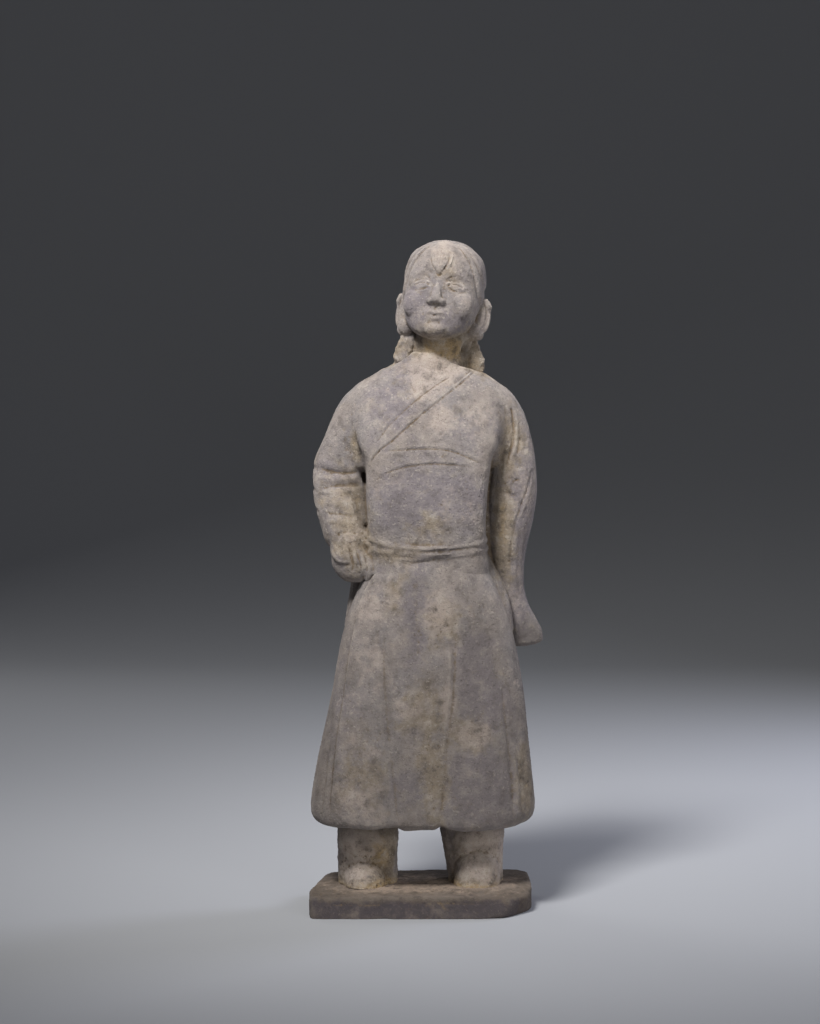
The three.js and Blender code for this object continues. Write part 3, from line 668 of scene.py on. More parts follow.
# tool strokes, listed by the side they are seen from: (kind, height, width, line), where the line is
# (x, z) places, or (y, z) from the left and right; a fifth value is the share over which the ends fade
torsoStrokes = {
    "front": [
        # the overlap's band crosses from the left of the neck to the right armpit
        ("step", 0.5, 0.9, lapEdge, 0.05),
        ("groove", 0.85, 0.38, lapEdge, 0.05),
        ("steepGroove", 0.8, 0.5, [(26, 257), (23.8, 255.3), (19.7, 251.7), (16, 248.8)], 0.04),
        ("steepGroove", 0.6, 0.4, [(25, 258), (22, 255.8), (18.4, 252.8), (15, 250)]),
        ("step", 0.4, 0.7, [(-7.4, 262), (-6.4, 256), (-5, 250), (-3.4, 245)]),
        ("groove", 0.5, 0.36, [(23, 257.6), (18.6, 256.4), (13.7, 254), (7.5, 250.2), (0.3, 245),
            (-7.4, 238.4), (-15, 230.8), (-19.6, 225), (-24, 219.6)]),
        ("ridge", 0.3, 0.9, [(19, 258), (6.5, 252.2), (-0.6, 247), (-8.4, 240.2), (-16, 232.4),
            (-20.6, 226.6)]),
        # two welts across the breast
        ("groove", 0.5, 0.36, [(-20, 218.4), (-13, 219.2), (-7.5, 219.4), (-1.6, 219.8), (5.2, 219.9),
            (12.7, 219), (18.3, 217.3), (23.8, 214.9), (30.6, 211.6)]),
        ("ridge", 0.3, 0.9, [(-14, 220.8), (-1.6, 221.2), (5.2, 221.4), (12.7, 220.6), (23.8, 216.6),
            (30, 213.2)]),
        ("groove", 0.5, 0.36, [(-24, 203.2), (-20, 206.2), (-16, 208.6), (-11.3, 210.4), (-4.5, 211.9),
            (2.7, 212.7), (8, 212.8), (14.6, 212.4), (20, 211.8), (28, 210.8)]),
        ("ridge", 0.3, 0.9, [(-20, 207.8), (-11.3, 211.9), (-4.5, 213.4), (8, 214.3), (14.6, 213.9),
            (22, 213)]),
        # right armpit
        ("groove", 0.3, 1.8, [(-31, 236), (-30, 230), (-29.8, 222), (-30.2, 215.6), (-28.6, 211)]),
        ("groove", 0.5, 0.5, [(-31.6, 227), (-31, 222), (-30.8, 217), (-30, 213)]),
        ("groove", 0.5, 1.6, [(-37, 231), (-36.4, 224), (-35.6, 217.6)]),
        ("ridge", 0.5, 1.5, [(-34, 236), (-33.6, 228), (-32.8, 219)]),
        # the arm lies against the side
        ("groove", 1.2, 0.55, [(-27.4, 205), (-26.8, 200), (-26.6, 194), (-26.6, 188), (-26.2, 183),
            (-25, 179)]),
        # rolls of cloth pushed up at the bent elbow
        ("ridge", 0.7, 2.2, [(-54, 215), (-49, 213.6), (-42, 212.4), (-35, 211.8)]),
        ("ridge", 0.6, 1.5, [(-54, 207.2), (-48, 206.6), (-42, 206), (-34, 206), (-30, 206)]),
        ("ridge", 0.6, 1.4, [(-52, 202.6), (-48, 199.6), (-42, 199.4), (-35, 199.8), (-31, 199.8)]),
        ("ridge", 0.5, 2.0, [(-49, 193.6), (-43, 194.2), (-37, 194.6), (-30, 194.6)]),
        ("ridge", 0.5, 2.0, [(-49, 185.6), (-42, 185.9), (-35, 185)]),
        ("groove", 0.7, 0.8, [(-54, 212), (-51, 211.3), (-47.6, 210.2), (-42.2, 208.8), (-36.5, 208.2),
            (-28.6, 208.6)]),
        ("groove", 0.4, 1.8, [(-54, 210.6), (-47.6, 208.6), (-42.2, 207.2), (-36.5, 206.6), (-28.6, 207)]),
        ("groove", 0.5, 0.7, [(-52, 204.8), (-50, 204.6), (-47, 203.9), (-42, 203.4)]),
        ("groove", 1.1, 1.1, [(-48, 201.4), (-44, 202), (-39, 202.6), (-34, 202.8), (-27.8, 202.6)]),
        ("groove", 0.7, 2.2, [(-42, 203), (-37, 203.6), (-32, 203.8), (-27.8, 203.6)]),
        ("groove", 0.6, 0.8, [(-51.4, 197.4), (-49, 197.8), (-46, 198.4)]),
        ("groove", 0.5, 0.7, [(-52, 195.4), (-48, 195.6), (-44, 196)]),
        ("groove", 0.6, 0.7, [(-51, 187.6), (-47.7, 188.2), (-42.2, 189.2), (-35.5, 188.7), (-30, 187.7)]),
        ("groove", 0.4, 1.8, [(-49, 186.6), (-42.2, 187.8), (-35.5, 187.4), (-30, 186.6)]),
        ("groove", 0.4, 0.8, [(-49, 182.6), (-44, 184), (-40, 183.6)]),
        ("fold", 0.4, 1.6, [(-33, 198), (-31.6, 192), (-30, 186)]),
        # wrist, thumb and fingers
        ("groove", 0.6, 0.9, [(-40.5, 178.8), (-37, 180.2), (-33, 180.6), (-27, 179.4)]),
        ("groove", 0.7, 0.6, [(-42, 173.4), (-40.4, 169.8), (-38.2, 167.4), (-34.8, 167.8)]),
        ("groove", 0.6, 0.7, [(-39.4, 165.4), (-36.6, 164.6), (-33, 165)]),
        ("groove", 0.8, 0.5, [(-33.8, 173), (-33, 169), (-32.4, 165), (-32.7, 161.4)]),
        ("groove", 0.8, 0.5, [(-30.4, 172), (-29.4, 167.6), (-28.8, 163.4), (-29.6, 160)]),
        ("groove", 0.8, 0.5, [(-27.2, 170.6), (-26, 167), (-25.6, 163.6), (-26.8, 160)]),
        # where the left sleeve meets the body, and its long creases
        ("groove", 0.9, 0.6, [(39, 246), (39.8, 240), (40, 235), (39.4, 228), (38, 221), (35.8, 214.4),
            (33, 208)]),
        ("ridge", 0.5, 0.8, [(41, 243), (41.8, 235), (41.4, 227), (39.8, 219)]),
        ("groove", 0.9, 0.6, [(42, 242.4), (43.2, 238), (44, 230.6), (43.5, 223), (41.8, 216.2),
            (40, 210)]),
        ("ridge", 0.5, 0.8, [(44.6, 240), (45.6, 231), (45.2, 223), (43.4, 215)]),
        ("groove", 0.7, 0.6, [(45.4, 240), (46.9, 234), (47.3, 228), (46.8, 222.6), (45.4, 216)]),
        ("groove", 0.35, 0.9, [(50, 234), (50.4, 226), (49.4, 217)]),
        ("groove", 0.5, 0.8, [(41, 207), (44, 204.6), (47.6, 205.4)]),
        ("groove", 0.5, 0.8, [(40, 199.6), (43, 197.4), (46, 197.8)]),
        ("groove", 0.4, 0.8, [(43, 213), (46, 211), (49, 211.6)]),
        # the long edge of the sleeve's cloth, lapped over itself
        ("step", 0.5, 0.8, [(53.6, 213), (52.3, 208), (50.4, 200.9), (47.5, 193.2), (45, 185.5),
            (43.4, 177), (42.4, 167)]),
        ("groove", 0.5, 0.45, [(52.6, 209), (50.6, 201), (47.7, 193.2), (45.2, 185.5), (43.6, 177),
            (42.6, 163), (43.4, 150)]),
        ("ridge", 0.45, 0.9, [(53.4, 206), (52, 200), (49.6, 193.2), (47, 186)]),
        ("groove", 0.5, 1.4, [(40.2, 205), (39.6, 195), (38.6, 184), (38.6, 172)]),
        ("groove", 0.4, 1.2, [(48.4, 184), (47, 172), (46.8, 158), (48, 146)]),
        ("groove", 0.4, 0.9, [(49, 142), (51, 135), (53.6, 128), (54.6, 124)]),
        ("groove", 0.35, 0.8, [(52.4, 142), (55, 136), (57, 131)]),
        ("ridge", 0.3, 1.0, [(47, 140), (48.4, 132), (49.4, 125)]),
        # sash: turns of the cords
        ("groove", 0.4, 0.5, [(-14, 173), (-6, 171.8), (1, 171.4), (9.5, 171.7), (16.3, 172.4),
            (20.8, 172.9), (29, 174.2)]),
        ("groove", 0.4, 0.4, [(-12, 175), (-4, 173.9), (4, 173.5), (12, 173.9)]),
        ("groove", 0.4, 0.35, [(4, 174.2), (10, 174.1), (17, 175)]),
        ("groove", 0.4, 0.35, [(-12, 170.8), (-4, 169.8), (6, 169.4), (14, 169.9), (24, 171)]),
    ],
    "back": [
        ("groove", 0.6, 1.5, [(5, 240), (4, 215), (3.6, 185)]),
        ("fold", 0.8, 2.4, [(20, 236), (17, 214), (12, 192)]),
        ("fold", 0.8, 2.4, [(-14, 186), (-12, 212), (-16, 236)]),
        ("groove", 1.0, 1.4, [(-31, 236), (-31.6, 222), (-31, 205)]),
        ("groove", 1.0, 1.4, [(38, 238), (38.6, 222), (37.6, 200), (37, 175), (40, 150)]),
        ("groove", 0.8, 1.2, [(-50, 209), (-42, 206), (-34, 207)]),
        ("groove", 0.8, 1.2, [(-50, 200), (-42, 197), (-34, 199)]),
        ("groove", 0.7, 1.2, [(-48, 188), (-40, 186), (-33, 189)]),
        ("groove", 0.7, 1.2, [(52, 205), (50, 185), (47, 165), (50, 140)]),
    ],
    "left": [
        ("groove", 0.6, 1.2, [(-4, 209.6), (4, 211), (14, 210)]),
        ("groove", 0.6, 1.2, [(-5, 199), (3, 201), (13, 202)]),
        ("groove", 0.5, 1.2, [(-8, 189), (0, 191), (10, 191)]),
    ],
    "right": [
        ("groove", 0.7, 1.2, [(2, 230), (5, 200), (8, 170), (11, 140)]),
    ],
}


def torsoPiece():
    piece = remeshed(torsoForms(), "robeAndArms", torso["voxel"])
    clay = Clay(piece)
    clay.rub(3)
    joins = sum(clay.blob(place, radii) for place, radii in torso["softJoins"])
    clay.rub(70, where=np.clip(joins * 1.2, 0, 1))
    clay.rub(14, where=clay.blob(*torso["fistJoin"]))
    x, y, z = clay.points.T
    inner = smoothstep(x, 31, 35) * smoothstep(x, 42, 35) * smoothstep(z, 226, 212) * smoothstep(z, 150, 176)
    y += torso["sleeveFallsBack"] * inner * (clay.normals[:, 1] < 0.3) * smoothstep(y, -14, -4)
    clay.refresh()
    clay.rub(4, where=inner)
    clay.marks(torsoStrokes)
    clay.rub(1)
    clay.rub(6, where=clay.blob(*torso["armpitJoin"]))
    weather(clay, torso["roughness"], seed)
    return finished(clay, piece, torso["triangles"])


skirt = {  # level sections from the hem to the sash
    "centre": smoothCurve([(40, 0.6), (70, 1.4), (108, 3.3), (147, 3.2), (180, 3)]),
    "half": smoothCurve([(40, 46), (40.8, 49.4), (42.6, 52), (45.6, 53.4), (50, 53.7), (56, 53.1),
                         (70, 51.2), (89, 48.2), (108, 45.2), (127, 41.8), (140, 38.2), (150, 34.6),
                         (158, 31.4), (165, 28.8), (171, 27.4), (180, 26.6)]),
    "front": smoothCurve([(40, 28), (41, 31), (43, 32.8), (47, 33.2), (56, 32.8), (70, 32), (108, 29.4),
                          (147, 27.2), (158, 25.4), (166, 23.4), (172, 22.4), (180, 22)]),
    "back": smoothCurve([(40, 26), (42, 28.8), (46, 30), (52, 30), (108, 25.8), (147, 22.6), (165, 19.6),
                         (180, 18.6)]),
    "power": smoothCurve([(40, 2.6), (60, 2.9), (130, 2.9), (165, 2.6), (180, 2.5)]),
}

leg = {
    "centre": smoothCurve([(4, 0), (50, 0)]),
    "half": smoothCurve([(4, 14.2), (14, 14.3), (24, 14.4), (34, 14.6), (50, 14.6)]),
    "front": smoothCurve([(4, 9), (14, 9.4), (22, 9.8), (30, 11), (36, 11.4), (50, 11)]),
    "back": smoothCurve([(4, 19), (50, 19)]),
    "power": smoothCurve([(4, 2.4), (50, 2.3)]),
}
leftLeg = {**leg, "centre": smoothCurve([(14, 0.6), (38, -0.9), (50, -0.9)]),  # its inner side slants
           "half": smoothCurve([(14, 13.2), (26, 14.2), (38, 15.6), (50, 15.6)])}

shoe = {  # level sections by the share of its height
    "centre": smoothCurve([(0, 0), (1, 0)]),
    "half": smoothCurve([(0, 10), (0.5, 10.2), (0.7, 9.7), (0.84, 8.7), (0.93, 7), (0.98, 4.6), (1, 2.6)]),
    "front": smoothCurve([(0, 17), (0.5, 17), (0.64, 16.6), (0.78, 15.4), (0.9, 13.2), (0.97, 11.2), (1, 9)]),
    "back": smoothCurve([(0, 10), (1, 6)]),
    "power": smoothCurve([(0, 2.3), (1, 2.2)]),
}

lowerBody = {
    "voxel": torso["voxel"],
    "triangles": 194000,
    "roughness": 1.0,
    "legPlace": 25.7,   # mm, from the middle to each leg, and to each shoe
    "shoePlace": 26.8,
    "sole": 4,
    "feet": [  # each one's side, leg, top of the shoe and how wide the shoe is
        {"side": -1, "leg": leg, "shoeTop": 22, "wide": 1},
        {"side": 1, "leg": leftLeg, "shoeTop": 27.6, "wide": 1.08},
    ],
    # the robe's side edges: one lies back below the fist, the other laps over the sleeve
    "sideEdges": [
        ([(-27.4, 6, 170, 3.6, 8), (-28.8, 6, 162, 4.2, 9), (-29.4, 6, 155, 4.4, 9.5),
          (-30.7, 6, 148, 4.2, 10), (-32.6, 6, 140, 3.8, 10), (-35, 6, 130, 3, 10)], 0.8),
        ([(27.4, 0, 171, 3.4, 8), (30.6, 0.6, 163, 4.4, 9), (35.2, 1, 153, 5, 9), (39, 1, 143, 4.4, 9),
          (41, 1, 130, 4, 10)], 0.5),
    ],
    # the middle panel's two edges, as (height, x), and how far it lies behind its neighbours
    "panelRight": smoothCurve([(40, -11), (74, -14.6), (130, -18)]),
    "panelLeft": smoothCurve([(40, 9.3), (83, 12.4), (150, 16)]),
    "panelDepth": 0.55,
    "hemNicks": [(-12, 2.4, 2), (-17, 4.4, 1.8), (9.4, 2, 2.2), (14, 4, 1)],  # x, width and depth
    "hemWander": 1.3,
    "hemDroop": 1.5,    # at the figure's left
    "lap": ((-33, 11, 148), (10, 11, 26)),  # where the side edge below the fist runs into the back
    "footing": 10.6,    # where the soles rest on the slab
}


def skirtForms():
    bm = bmesh.new()
    addLevels(bm, 40.2, 177, skirt, around=140, rings=150)
    sole = lowerBody["sole"]
    for foot in lowerBody["feet"]:
        side, top, wide = foot["side"], foot["shoeTop"], foot["wide"]
        addLevels(bm, sole + 2, 50, foot["leg"], around=56, rings=44, shift=(side * lowerBody["legPlace"], 0))
        sections = {key: (lambda z, key=key: shoe[key]((z - sole) / (top - sole))) for key in shoe}
        sections["half"] = lambda z: wide * shoe["half"]((z - sole) / (top - sole))
        across = side * lowerBody["shoePlace"] + wide - 1
        addLevels(bm, sole + 2, top, sections, around=48, rings=30, shift=(across, 0))
    for stations, ends in lowerBody["sideEdges"]:
        addLimb(bm, stations, ends=ends)
    return bm


skirtStrokes = {
    "front": [
        # front corner and upright folds
        ("step", 0.9, 2.2, [(-43.4, 48), (-42.4, 60), (-40.4, 82), (-37.2, 104), (-34, 128), (-29.6, 148),
            (-24.6, 158), (-19.6, 164)]),
        ("groove", 0.7, 1.3, [(-44, 44), (-43.4, 60), (-41.4, 82), (-38.2, 104), (-35, 128), (-30.8, 147)]),
        ("groove", 1.2, 1.3, [(-48.4, 42), (-47.6, 52), (-46, 66), (-44.2, 84)]),
        ("ridge", 0.5, 1.2, [(-46, 44), (-45.4, 54), (-44, 66), (-42.6, 80)]),
        ("groove", 0.5, 1.5, [(-39.6, 41), (-39.4, 50), (-38.6, 62)]),
        ("groove", 0.5, 2.4, [(-17.4, 140), (-17.2, 120), (-16.2, 98), (-14.8, 78)]),
        ("groove", 0.28, 1.1, [(-18, 134), (-17.7, 112), (-16.2, 92), (-14.6, 74), (-12.8, 58),
            (-11.3, 42)]),
        ("groove", 0.5, 2.6, [(-3, 160), (-2.4, 148), (-1.6, 134), (-1, 122)]),
        ("groove", 0.6, 1.6, [(-30, 160), (-31, 150), (-33, 140), (-35.4, 128)]),
        ("ridge", 0.3, 1.8, [(-20, 128), (-19.8, 112), (-18.2, 92), (-16.8, 74), (-15, 58), (-13.6, 44)]),
        ("ridge", 0.7, 1.3, [(12.6, 134), (13.2, 118), (12.6, 102), (11.4, 88), (9.6, 74)]),
        ("ridge", 0.3, 1.4, [(12, 84), (8.6, 62), (7.4, 44)]),
        ("groove", 0.35, 1.1, [(15.9, 150), (16.2, 125), (14.8, 102), (12.4, 83), (10.8, 62), (9.4, 42)]),
        ("ridge", 0.3, 1.8, [(18.4, 140), (18.6, 120), (17, 98), (14.8, 78), (13, 60), (12, 44)]),
        ("groove", 0.85, 1.4, [(38, 112), (39.4, 98), (41, 84), (42.6, 70), (43.6, 56), (43.8, 42)]),
        ("ridge", 0.6, 1.4, [(43.4, 82), (45.4, 68), (46.2, 54), (46.2, 44)]),
        ("groove", 1, 1.3, [(45.6, 80), (47.6, 64), (48.4, 52), (48.4, 42)]),
        ("groove", 0.5, 2, [(49.6, 74), (50.8, 60), (51.2, 46)]),
        ("groove", 0.4, 1.8, [(29, 150), (33, 130), (36, 110), (38, 92)]),
        ("fold", 0.3, 2.5, [(-6, 160), (-5, 140), (-3, 118)]),
        ("groove", 0.35, 2.0, [(-28, 100), (-29, 80), (-29.6, 60)]),
        ("groove", 0.35, 2.0, [(26, 110), (27.4, 86), (28, 64)]),
        # trousers and shoes
        ("groove", 0.7, 1.5, [(-40, 28), (-34, 26), (-27, 24.4), (-20, 25.4), (-12, 28)]),
        ("groove", 0.5, 0.9, [(-36.6, 12), (-35.8, 16), (-33.2, 19.6), (-29, 21.4), (-24, 21.4),
            (-19.6, 19.6), (-17.4, 16), (-16.6, 12)]),
        ("groove", 0.5, 0.9, [(16.8, 12), (17.2, 19), (19.8, 24.4), (24.6, 27.6), (30.6, 27.8),
            (35.4, 24.6), (38, 19), (38.6, 12)]),
        # streaks combed down the shoes
        ("groove", 0.3, 0.45, [(-30.6, 19), (-31.4, 15), (-31.6, 12)]),
        ("groove", 0.3, 0.45, [(-27, 20), (-27, 16), (-27, 12)]),
        ("groove", 0.3, 0.45, [(-23.4, 19), (-22.8, 15), (-22.6, 12)]),
        ("groove", 0.3, 0.6, [(23, 22), (22.4, 17), (22.2, 12)]),
        ("groove", 0.3, 0.6, [(31, 22), (31.6, 17), (31.8, 12)]),
        ("ridge", 0.6, 1.8, [(13, 34), (20, 32.4), (28, 32), (36, 32.6), (40.6, 35)]),
        ("groove", 0.5, 1.4, [(13, 38), (22, 37), (32, 37), (40, 39)]),
        ("ridge", 0.6, 2.0, [(-40, 34), (-30, 31.4), (-20, 31.6), (-12, 34)]),
    ],
    "back": [
        ("groove", 1.1, 2.4, [(3, 160), (2.4, 120), (1.4, 80), (1, 42)]),
        ("groove", 1.0, 2.4, [(-14, 158), (-21, 120), (-28, 80), (-31, 42)]),
        ("groove", 1.0, 2.4, [(19, 158), (25, 120), (31, 80), (33, 42)]),
        ("ridge", 0.7, 3, [(-6, 158), (-10, 120), (-14, 80), (-16, 46)]),
        ("ridge", 0.7, 3, [(11, 158), (14, 120), (17, 80), (18, 46)]),
    ],
    "left": [
        ("groove", 0.8, 1.8, [(4, 150), (3, 110), (2, 70), (2, 44)]),
        ("groove", 0.6, 1.8, [(-9, 130), (-10, 90), (-11, 46)]),
    ],
    "right": [
        ("groove", 0.8, 1.8, [(3, 118), (2, 80), (2, 44)]),
        ("groove", 0.6, 1.8, [(14, 110), (15, 75), (15, 44)]),
    ],
}


def skirtPiece():
    piece = remeshed(skirtForms(), "skirtAndLegs", lowerBody["voxel"])
    clay = Clay(piece)
    clay.rub(3)
    x, z = clay.points[:, 0], clay.points[:, 2]
    within = (smoothstep(x - lowerBody["panelRight"](z), -0.6, 1.2)
              * smoothstep(lowerBody["panelLeft"](z) - x, -0.6, 1.2) * (clay.normals[:, 1] < -0.3))
    clay.push(-lowerBody["panelDepth"] * within * smoothstep(z, 130, 44) * (z > 39))
    for place, wide, deep in lowerBody["hemNicks"]:  # where panels meet
        clay.push(-deep * clay.blob((place, -31, 39.6), (wide, 8, 3)))
    clay.marks(skirtStrokes)
    lap = smoothstep(clay.points[:, 1], 1, 6) * np.clip(1.6 * clay.blob(*lowerBody["lap"]), 0, 1)
    clay.rub(60, where=lap)
    hem = smoothstep(z, 52, 42) * smoothstep(z, 37, 39)
    wander = lowerBody["hemWander"] * cloud(clay.points * (1, 1, 0), 16, seed + 70, 3)
    z += hem * (wander + lowerBody["hemDroop"] * smoothstep(x, 30, 52))
    clay.refresh()
    clay.rub(1)
    # trousers and shoes are the roughest, with crumbs of earth and lime
    low = smoothstep(clay.points[:, 2], 40, 34)
    lumps = grains(clay.points, 2.1, seed + 80)
    clay.push(low * (0.2 * smoothstep(lumps, 0.42, 0.15) + 0.4 * cloud(clay.points, 5, seed + 81, 3)))
    weather(clay, lowerBody["roughness"] + 0.4 * low, seed + 2)
    clay.points[:, 2] = np.maximum(clay.points[:, 2], lowerBody["footing"])
    clay.refresh()
    return finished(clay, piece, lowerBody["triangles"])


head = {
    "voxel": 0.36,  # mm
    "triangles": 170000,
    "roughness": 0.6,
    "place": (10.7, -0.5, crownHeight - 26.2),
    "back": 14,    # degrees
    "turn": -9,
    "lean": 4.5,
    "pit": ((21.2, -7, 266.4), (1.9, 5, 3.4)),  # between the neck and the left plait
    "pitDepth": 3.4,
}
headMatrix = (Matrix.Translation(head["place"])
              @ Matrix.Rotation(math.radians(head["lean"]), 4, "Y")
              @ Matrix.Rotation(math.radians(head["turn"]), 4, "Z")
              @ Matrix.Rotation(math.radians(-head["back"]), 4, "X"))

skull = {  # level sections from the chin to the crown, with the head level and facing -Y
    "centre": smoothCurve([(-30, 0), (30, 0)]),
    "half": smoothCurve([(-26, 2), (-25.4, 5), (-24, 8.6), (-21, 12.4), (-17, 15.4), (-12, 17.3), (-6, 18.4),
                         (0, 18.6), (8, 18.3), (14, 17.2), (19, 15.2), (23, 11.6), (25.3, 6.6), (26.2, 2)]),
    "front": smoothCurve([(-26, 13), (-25.4, 15.6), (-24, 17.4), (-20, 19), (-14, 19.8), (-4, 20.2),
                          (4, 20.6), (10, 20), (15, 17.8), (20, 13.4), (23.6, 8.2), (25.4, 3.6), (26.2, 0)]),
    "back": smoothCurve([(-26, -9), (-24, -4), (-20, 6), (-15, 14), (-8, 20), (2, 23), (10, 22.4),
                         (17, 19.2), (22, 14), (25, 7.4), (26.2, 3)]),
    "power": smoothCurve([(-26, 2), (-10, 2.2), (10, 2.15), (26, 2)]),
}

def mirrored(side, place):
    return (side * place[0], *place[1:])


ear = {  # places are (along, height, out) on the ear's own face, with the half sizes of its lumps
    "shell": ((0.8, 0, 0), (2.5, 5.2, 9.6)),
    "rim": [(-3.2, 3, 1), (-2.4, 6.6, 1.2), (0.8, 8.8, 1.3), (4, 7, 1.3), (5.4, 2.6, 1.3), (5, -2.4, 1.3),
            (3.4, -6, 1.1)],
    "rimRadius": 1.1,
    "fold": [(1.2, 5.4, 1.6), (2.4, 1, 1.9), (1.4, -3.6, 1.7)],
    "foldRadius": 0.9,
    "lobe": ((0.8, -7.2, 0.5), (2.2, 3.4, 3.4)),
    "flap": ((-3.2, -1, 1.3), (1.2, 1.4, 2.2)),
    "hole": ((-0.8, -0.4, 1.4), (2.4, 2.4, 3.2)),
    "holeDepth": 1.1,
    # clay behind the ear and under the lobe, placed on the head
    "clay": [((17.4, 5, -9.6), (3.6, 4.4, 8.4)), ((16.2, 1.2, -17.4), (3.8, 4.6, 4.6))],
    "turn": {-1: 38, 1: 47},         # degrees back from the side of the head, for the right and the left
    "outward": {-1: 0.62, 1: 0.74},  # and how far each one's face then points to the side
}


def earSpot(side, along, z, out=0):  # a place on an ear's own face, which leans out towards the back
    outward = ear["outward"][side]
    backward = math.sqrt(1 - outward ** 2)
    x = 17.3 + outward * along + backward * out
    return np.array([side * x, 2 + backward * along - outward * out, z - 11])


def addEar(bm, side):
    lean = (0, 0, -side * ear["turn"][side])
    for part in ("shell", "lobe", "flap"):
        place, half = ear[part]
        addLump(bm, earSpot(side, *place), half, lean)
    for part, around, rings in (("rim", 12, 44), ("fold", 10, 14)):
        radius = ear[part + "Radius"]
        line = [(*earSpot(side, *place), radius, radius) for place in ear[part]]
        addLimb(bm, line, around, rings, facing=(side, 0.1, 0))
    for place, half in ear["clay"]:
        addLump(bm, mirrored(side, place), half)


face = {  # a calm, general face; what lies beside the middle is given for one side and mirrored
    "cheek": ((9.4, -12.4, -9.6), (7.4, 6.6, 8.2)),
    "noseWing": ((2.9, -20.6, -10.4), (1.8, 2.2, 1.7)),
    "brow": [(2.2, -18.2, 3, 1.2, 1.6), (7.6, -17.5, 4.2, 1.2, 1.9), (13, -13.6, 2.6, 1, 1.6)],
    "nose": [(0, -18, 4.4, 2.4, 1.9), (0, -19.2, -1, 2, 2.2), (0, -20.7, -6, 2.2, 2.5),
             (0, -21.8, -9.4, 2.6, 2.4), (0, -20.6, -11.2, 2.1, 1.7)],
    "chin": ((0, -15.6, -22), (6.2, 4.4, 4)),
    "upperLip": [(-5.6, -17.8, -16.5, 0.8, 0.7), (-2.4, -19.7, -15.6, 1.2, 1.2), (0, -19.9, -15.9, 1.1, 1.2),
                 (2.4, -19.7, -15.6, 1.2, 1.2), (5.6, -17.8, -16.5, 0.8, 0.7)],
    "lowerLip": [(-4.2, -18.1, -17.5, 0.8, 0.8), (0, -19.3, -18.4, 1.5, 1.3), (4.2, -18.1, -17.5, 0.8, 0.8)],
    "socket": ((7.8, -18, -0.8), (5.2, 8, 3.6)),
    "socketDepth": 1.9,
    "eyePlace": (8.2, -2),      # x and height
    "eyeHalves": (4.6, 2.6),
    "eyeBulge": 1.3,
}

# tongue-shaped forelock on the shaved crown
forelock = [(-0.6, -7, 24, 2.6, 0.7), (-0.5, -12.2, 20.6, 3.6, 1), (-0.5, -15.8, 17.2, 4.2, 1.2),
            (-0.5, -18.4, 12.8, 4.6, 1.3), (-0.3, -19.8, 8.8, 4.2, 1.3), (-0.1, -20.4, 5.6, 3, 1.3),
            (0, -20.5, 3.4, 1.4, 1.1)]


def headForms():
    bm = bmesh.new()
    addLevels(bm, -26, 26.2, skull, around=96, rings=90)
    for side in (-1, 1):
        for part in ("cheek", "noseWing"):
            place, half = face[part]
            addLump(bm, mirrored(side, place), half)
        addLimb(bm, [mirrored(side, station) for station in face["brow"]], around=14, rings=20)
        addEar(bm, side)
    addLimb(bm, face["nose"], around=20, rings=30)
    addLump(bm, *face["chin"])
    addLimb(bm, face["upperLip"], around=14, rings=30)
    addLimb(bm, face["lowerLip"], around=14, rings=26)
    addLimb(bm, forelock)
    bmesh.ops.transform(bm, matrix=headMatrix, verts=bm.verts)
    addNeck(bm)
    addPlaits(bm)
    return bm


neck = {
    "column": [(9.4, 3.4, 244, 13, 12.6), (9.6, 2.6, 256, 13.4, 12.4), (10.4, 0.6, 266, 13.4, 13.4),
               (11.4, -1.6, 276, 13.6, 14), (11.6, 2, 286, 14, 14)],
    "lumps": [  # each one's place, half sizes and turn
        ((10.8, -6.6, 272), (11.6, 9.6, 8.6)),             # throat
        ((6.4, -8.4, 258.6), (9.6, 6, 8.4), (0, 20, 0)),   # the breast bared by the collar
        ((9.2, 7.4, 267), (18.2, 9.4, 18), (0, 4, 0)),     # hair drawn down the nape
        ((22.4, 3.4, 268), (4.4, 6, 12)),
        ((-3.4, 4.4, 270), (4.4, 6, 11)),
    ],
}


def addNeck(bm):
    addLimb(bm, neck["column"], around=56, rings=44)
    for lump in neck["lumps"]:
        addLump(bm, *lump)


plait = {
    "loops": [  # down from behind each ear and up again to the nape
        [(-3.6, 5, 283), (-5.2, 1.8, 275), (-7.6, -1, 269), (-9.4, -2, 263.4), (-6.8, 2, 259), (-1, 12, 262)],
        [(22, 4.6, 281), (22.8, 1.4, 273), (25, -0.6, 265.6), (26.8, -1, 259.8), (23.4, 3, 255.8),
         (18, 11, 260)],
    ],
    "strands": 3,
    "crossings": 3.6,       # turns that each strand makes along the loop
    "swing": (2.3, 1.2),    # mm to the side and forward
    "strandRadius": 1.8,
    "core": (3.3, 3.2),     # keeps the strands one body
    "stations": 60,
}


def addPlaits(bm):
    for loop in plait["loops"]:
        route = smoothPath(loop, plait["stations"])
        tangent = unit(np.gradient(route, axis=0))
        across = unit(np.cross(tangent, [0, 1, 0]))
        forward = np.cross(across, tangent)
        turn = np.linspace(0, 2 * math.pi * plait["crossings"], plait["stations"])
        side, front = plait["swing"]
        thick = plait["strandRadius"]
        for strand in range(plait["strands"]):
            phase = turn + strand * 2 * math.pi / plait["strands"]
            line = (route + across * (side * np.sin(phase))[:, None]
                    + forward * (front * np.sin(2 * phase))[:, None])
            addLimb(bm, [(*spot, thick, thick) for spot in line], around=12, rings=90)
        addLimb(bm, [(*spot, *plait["core"]) for spot in loop], around=14, rings=30)


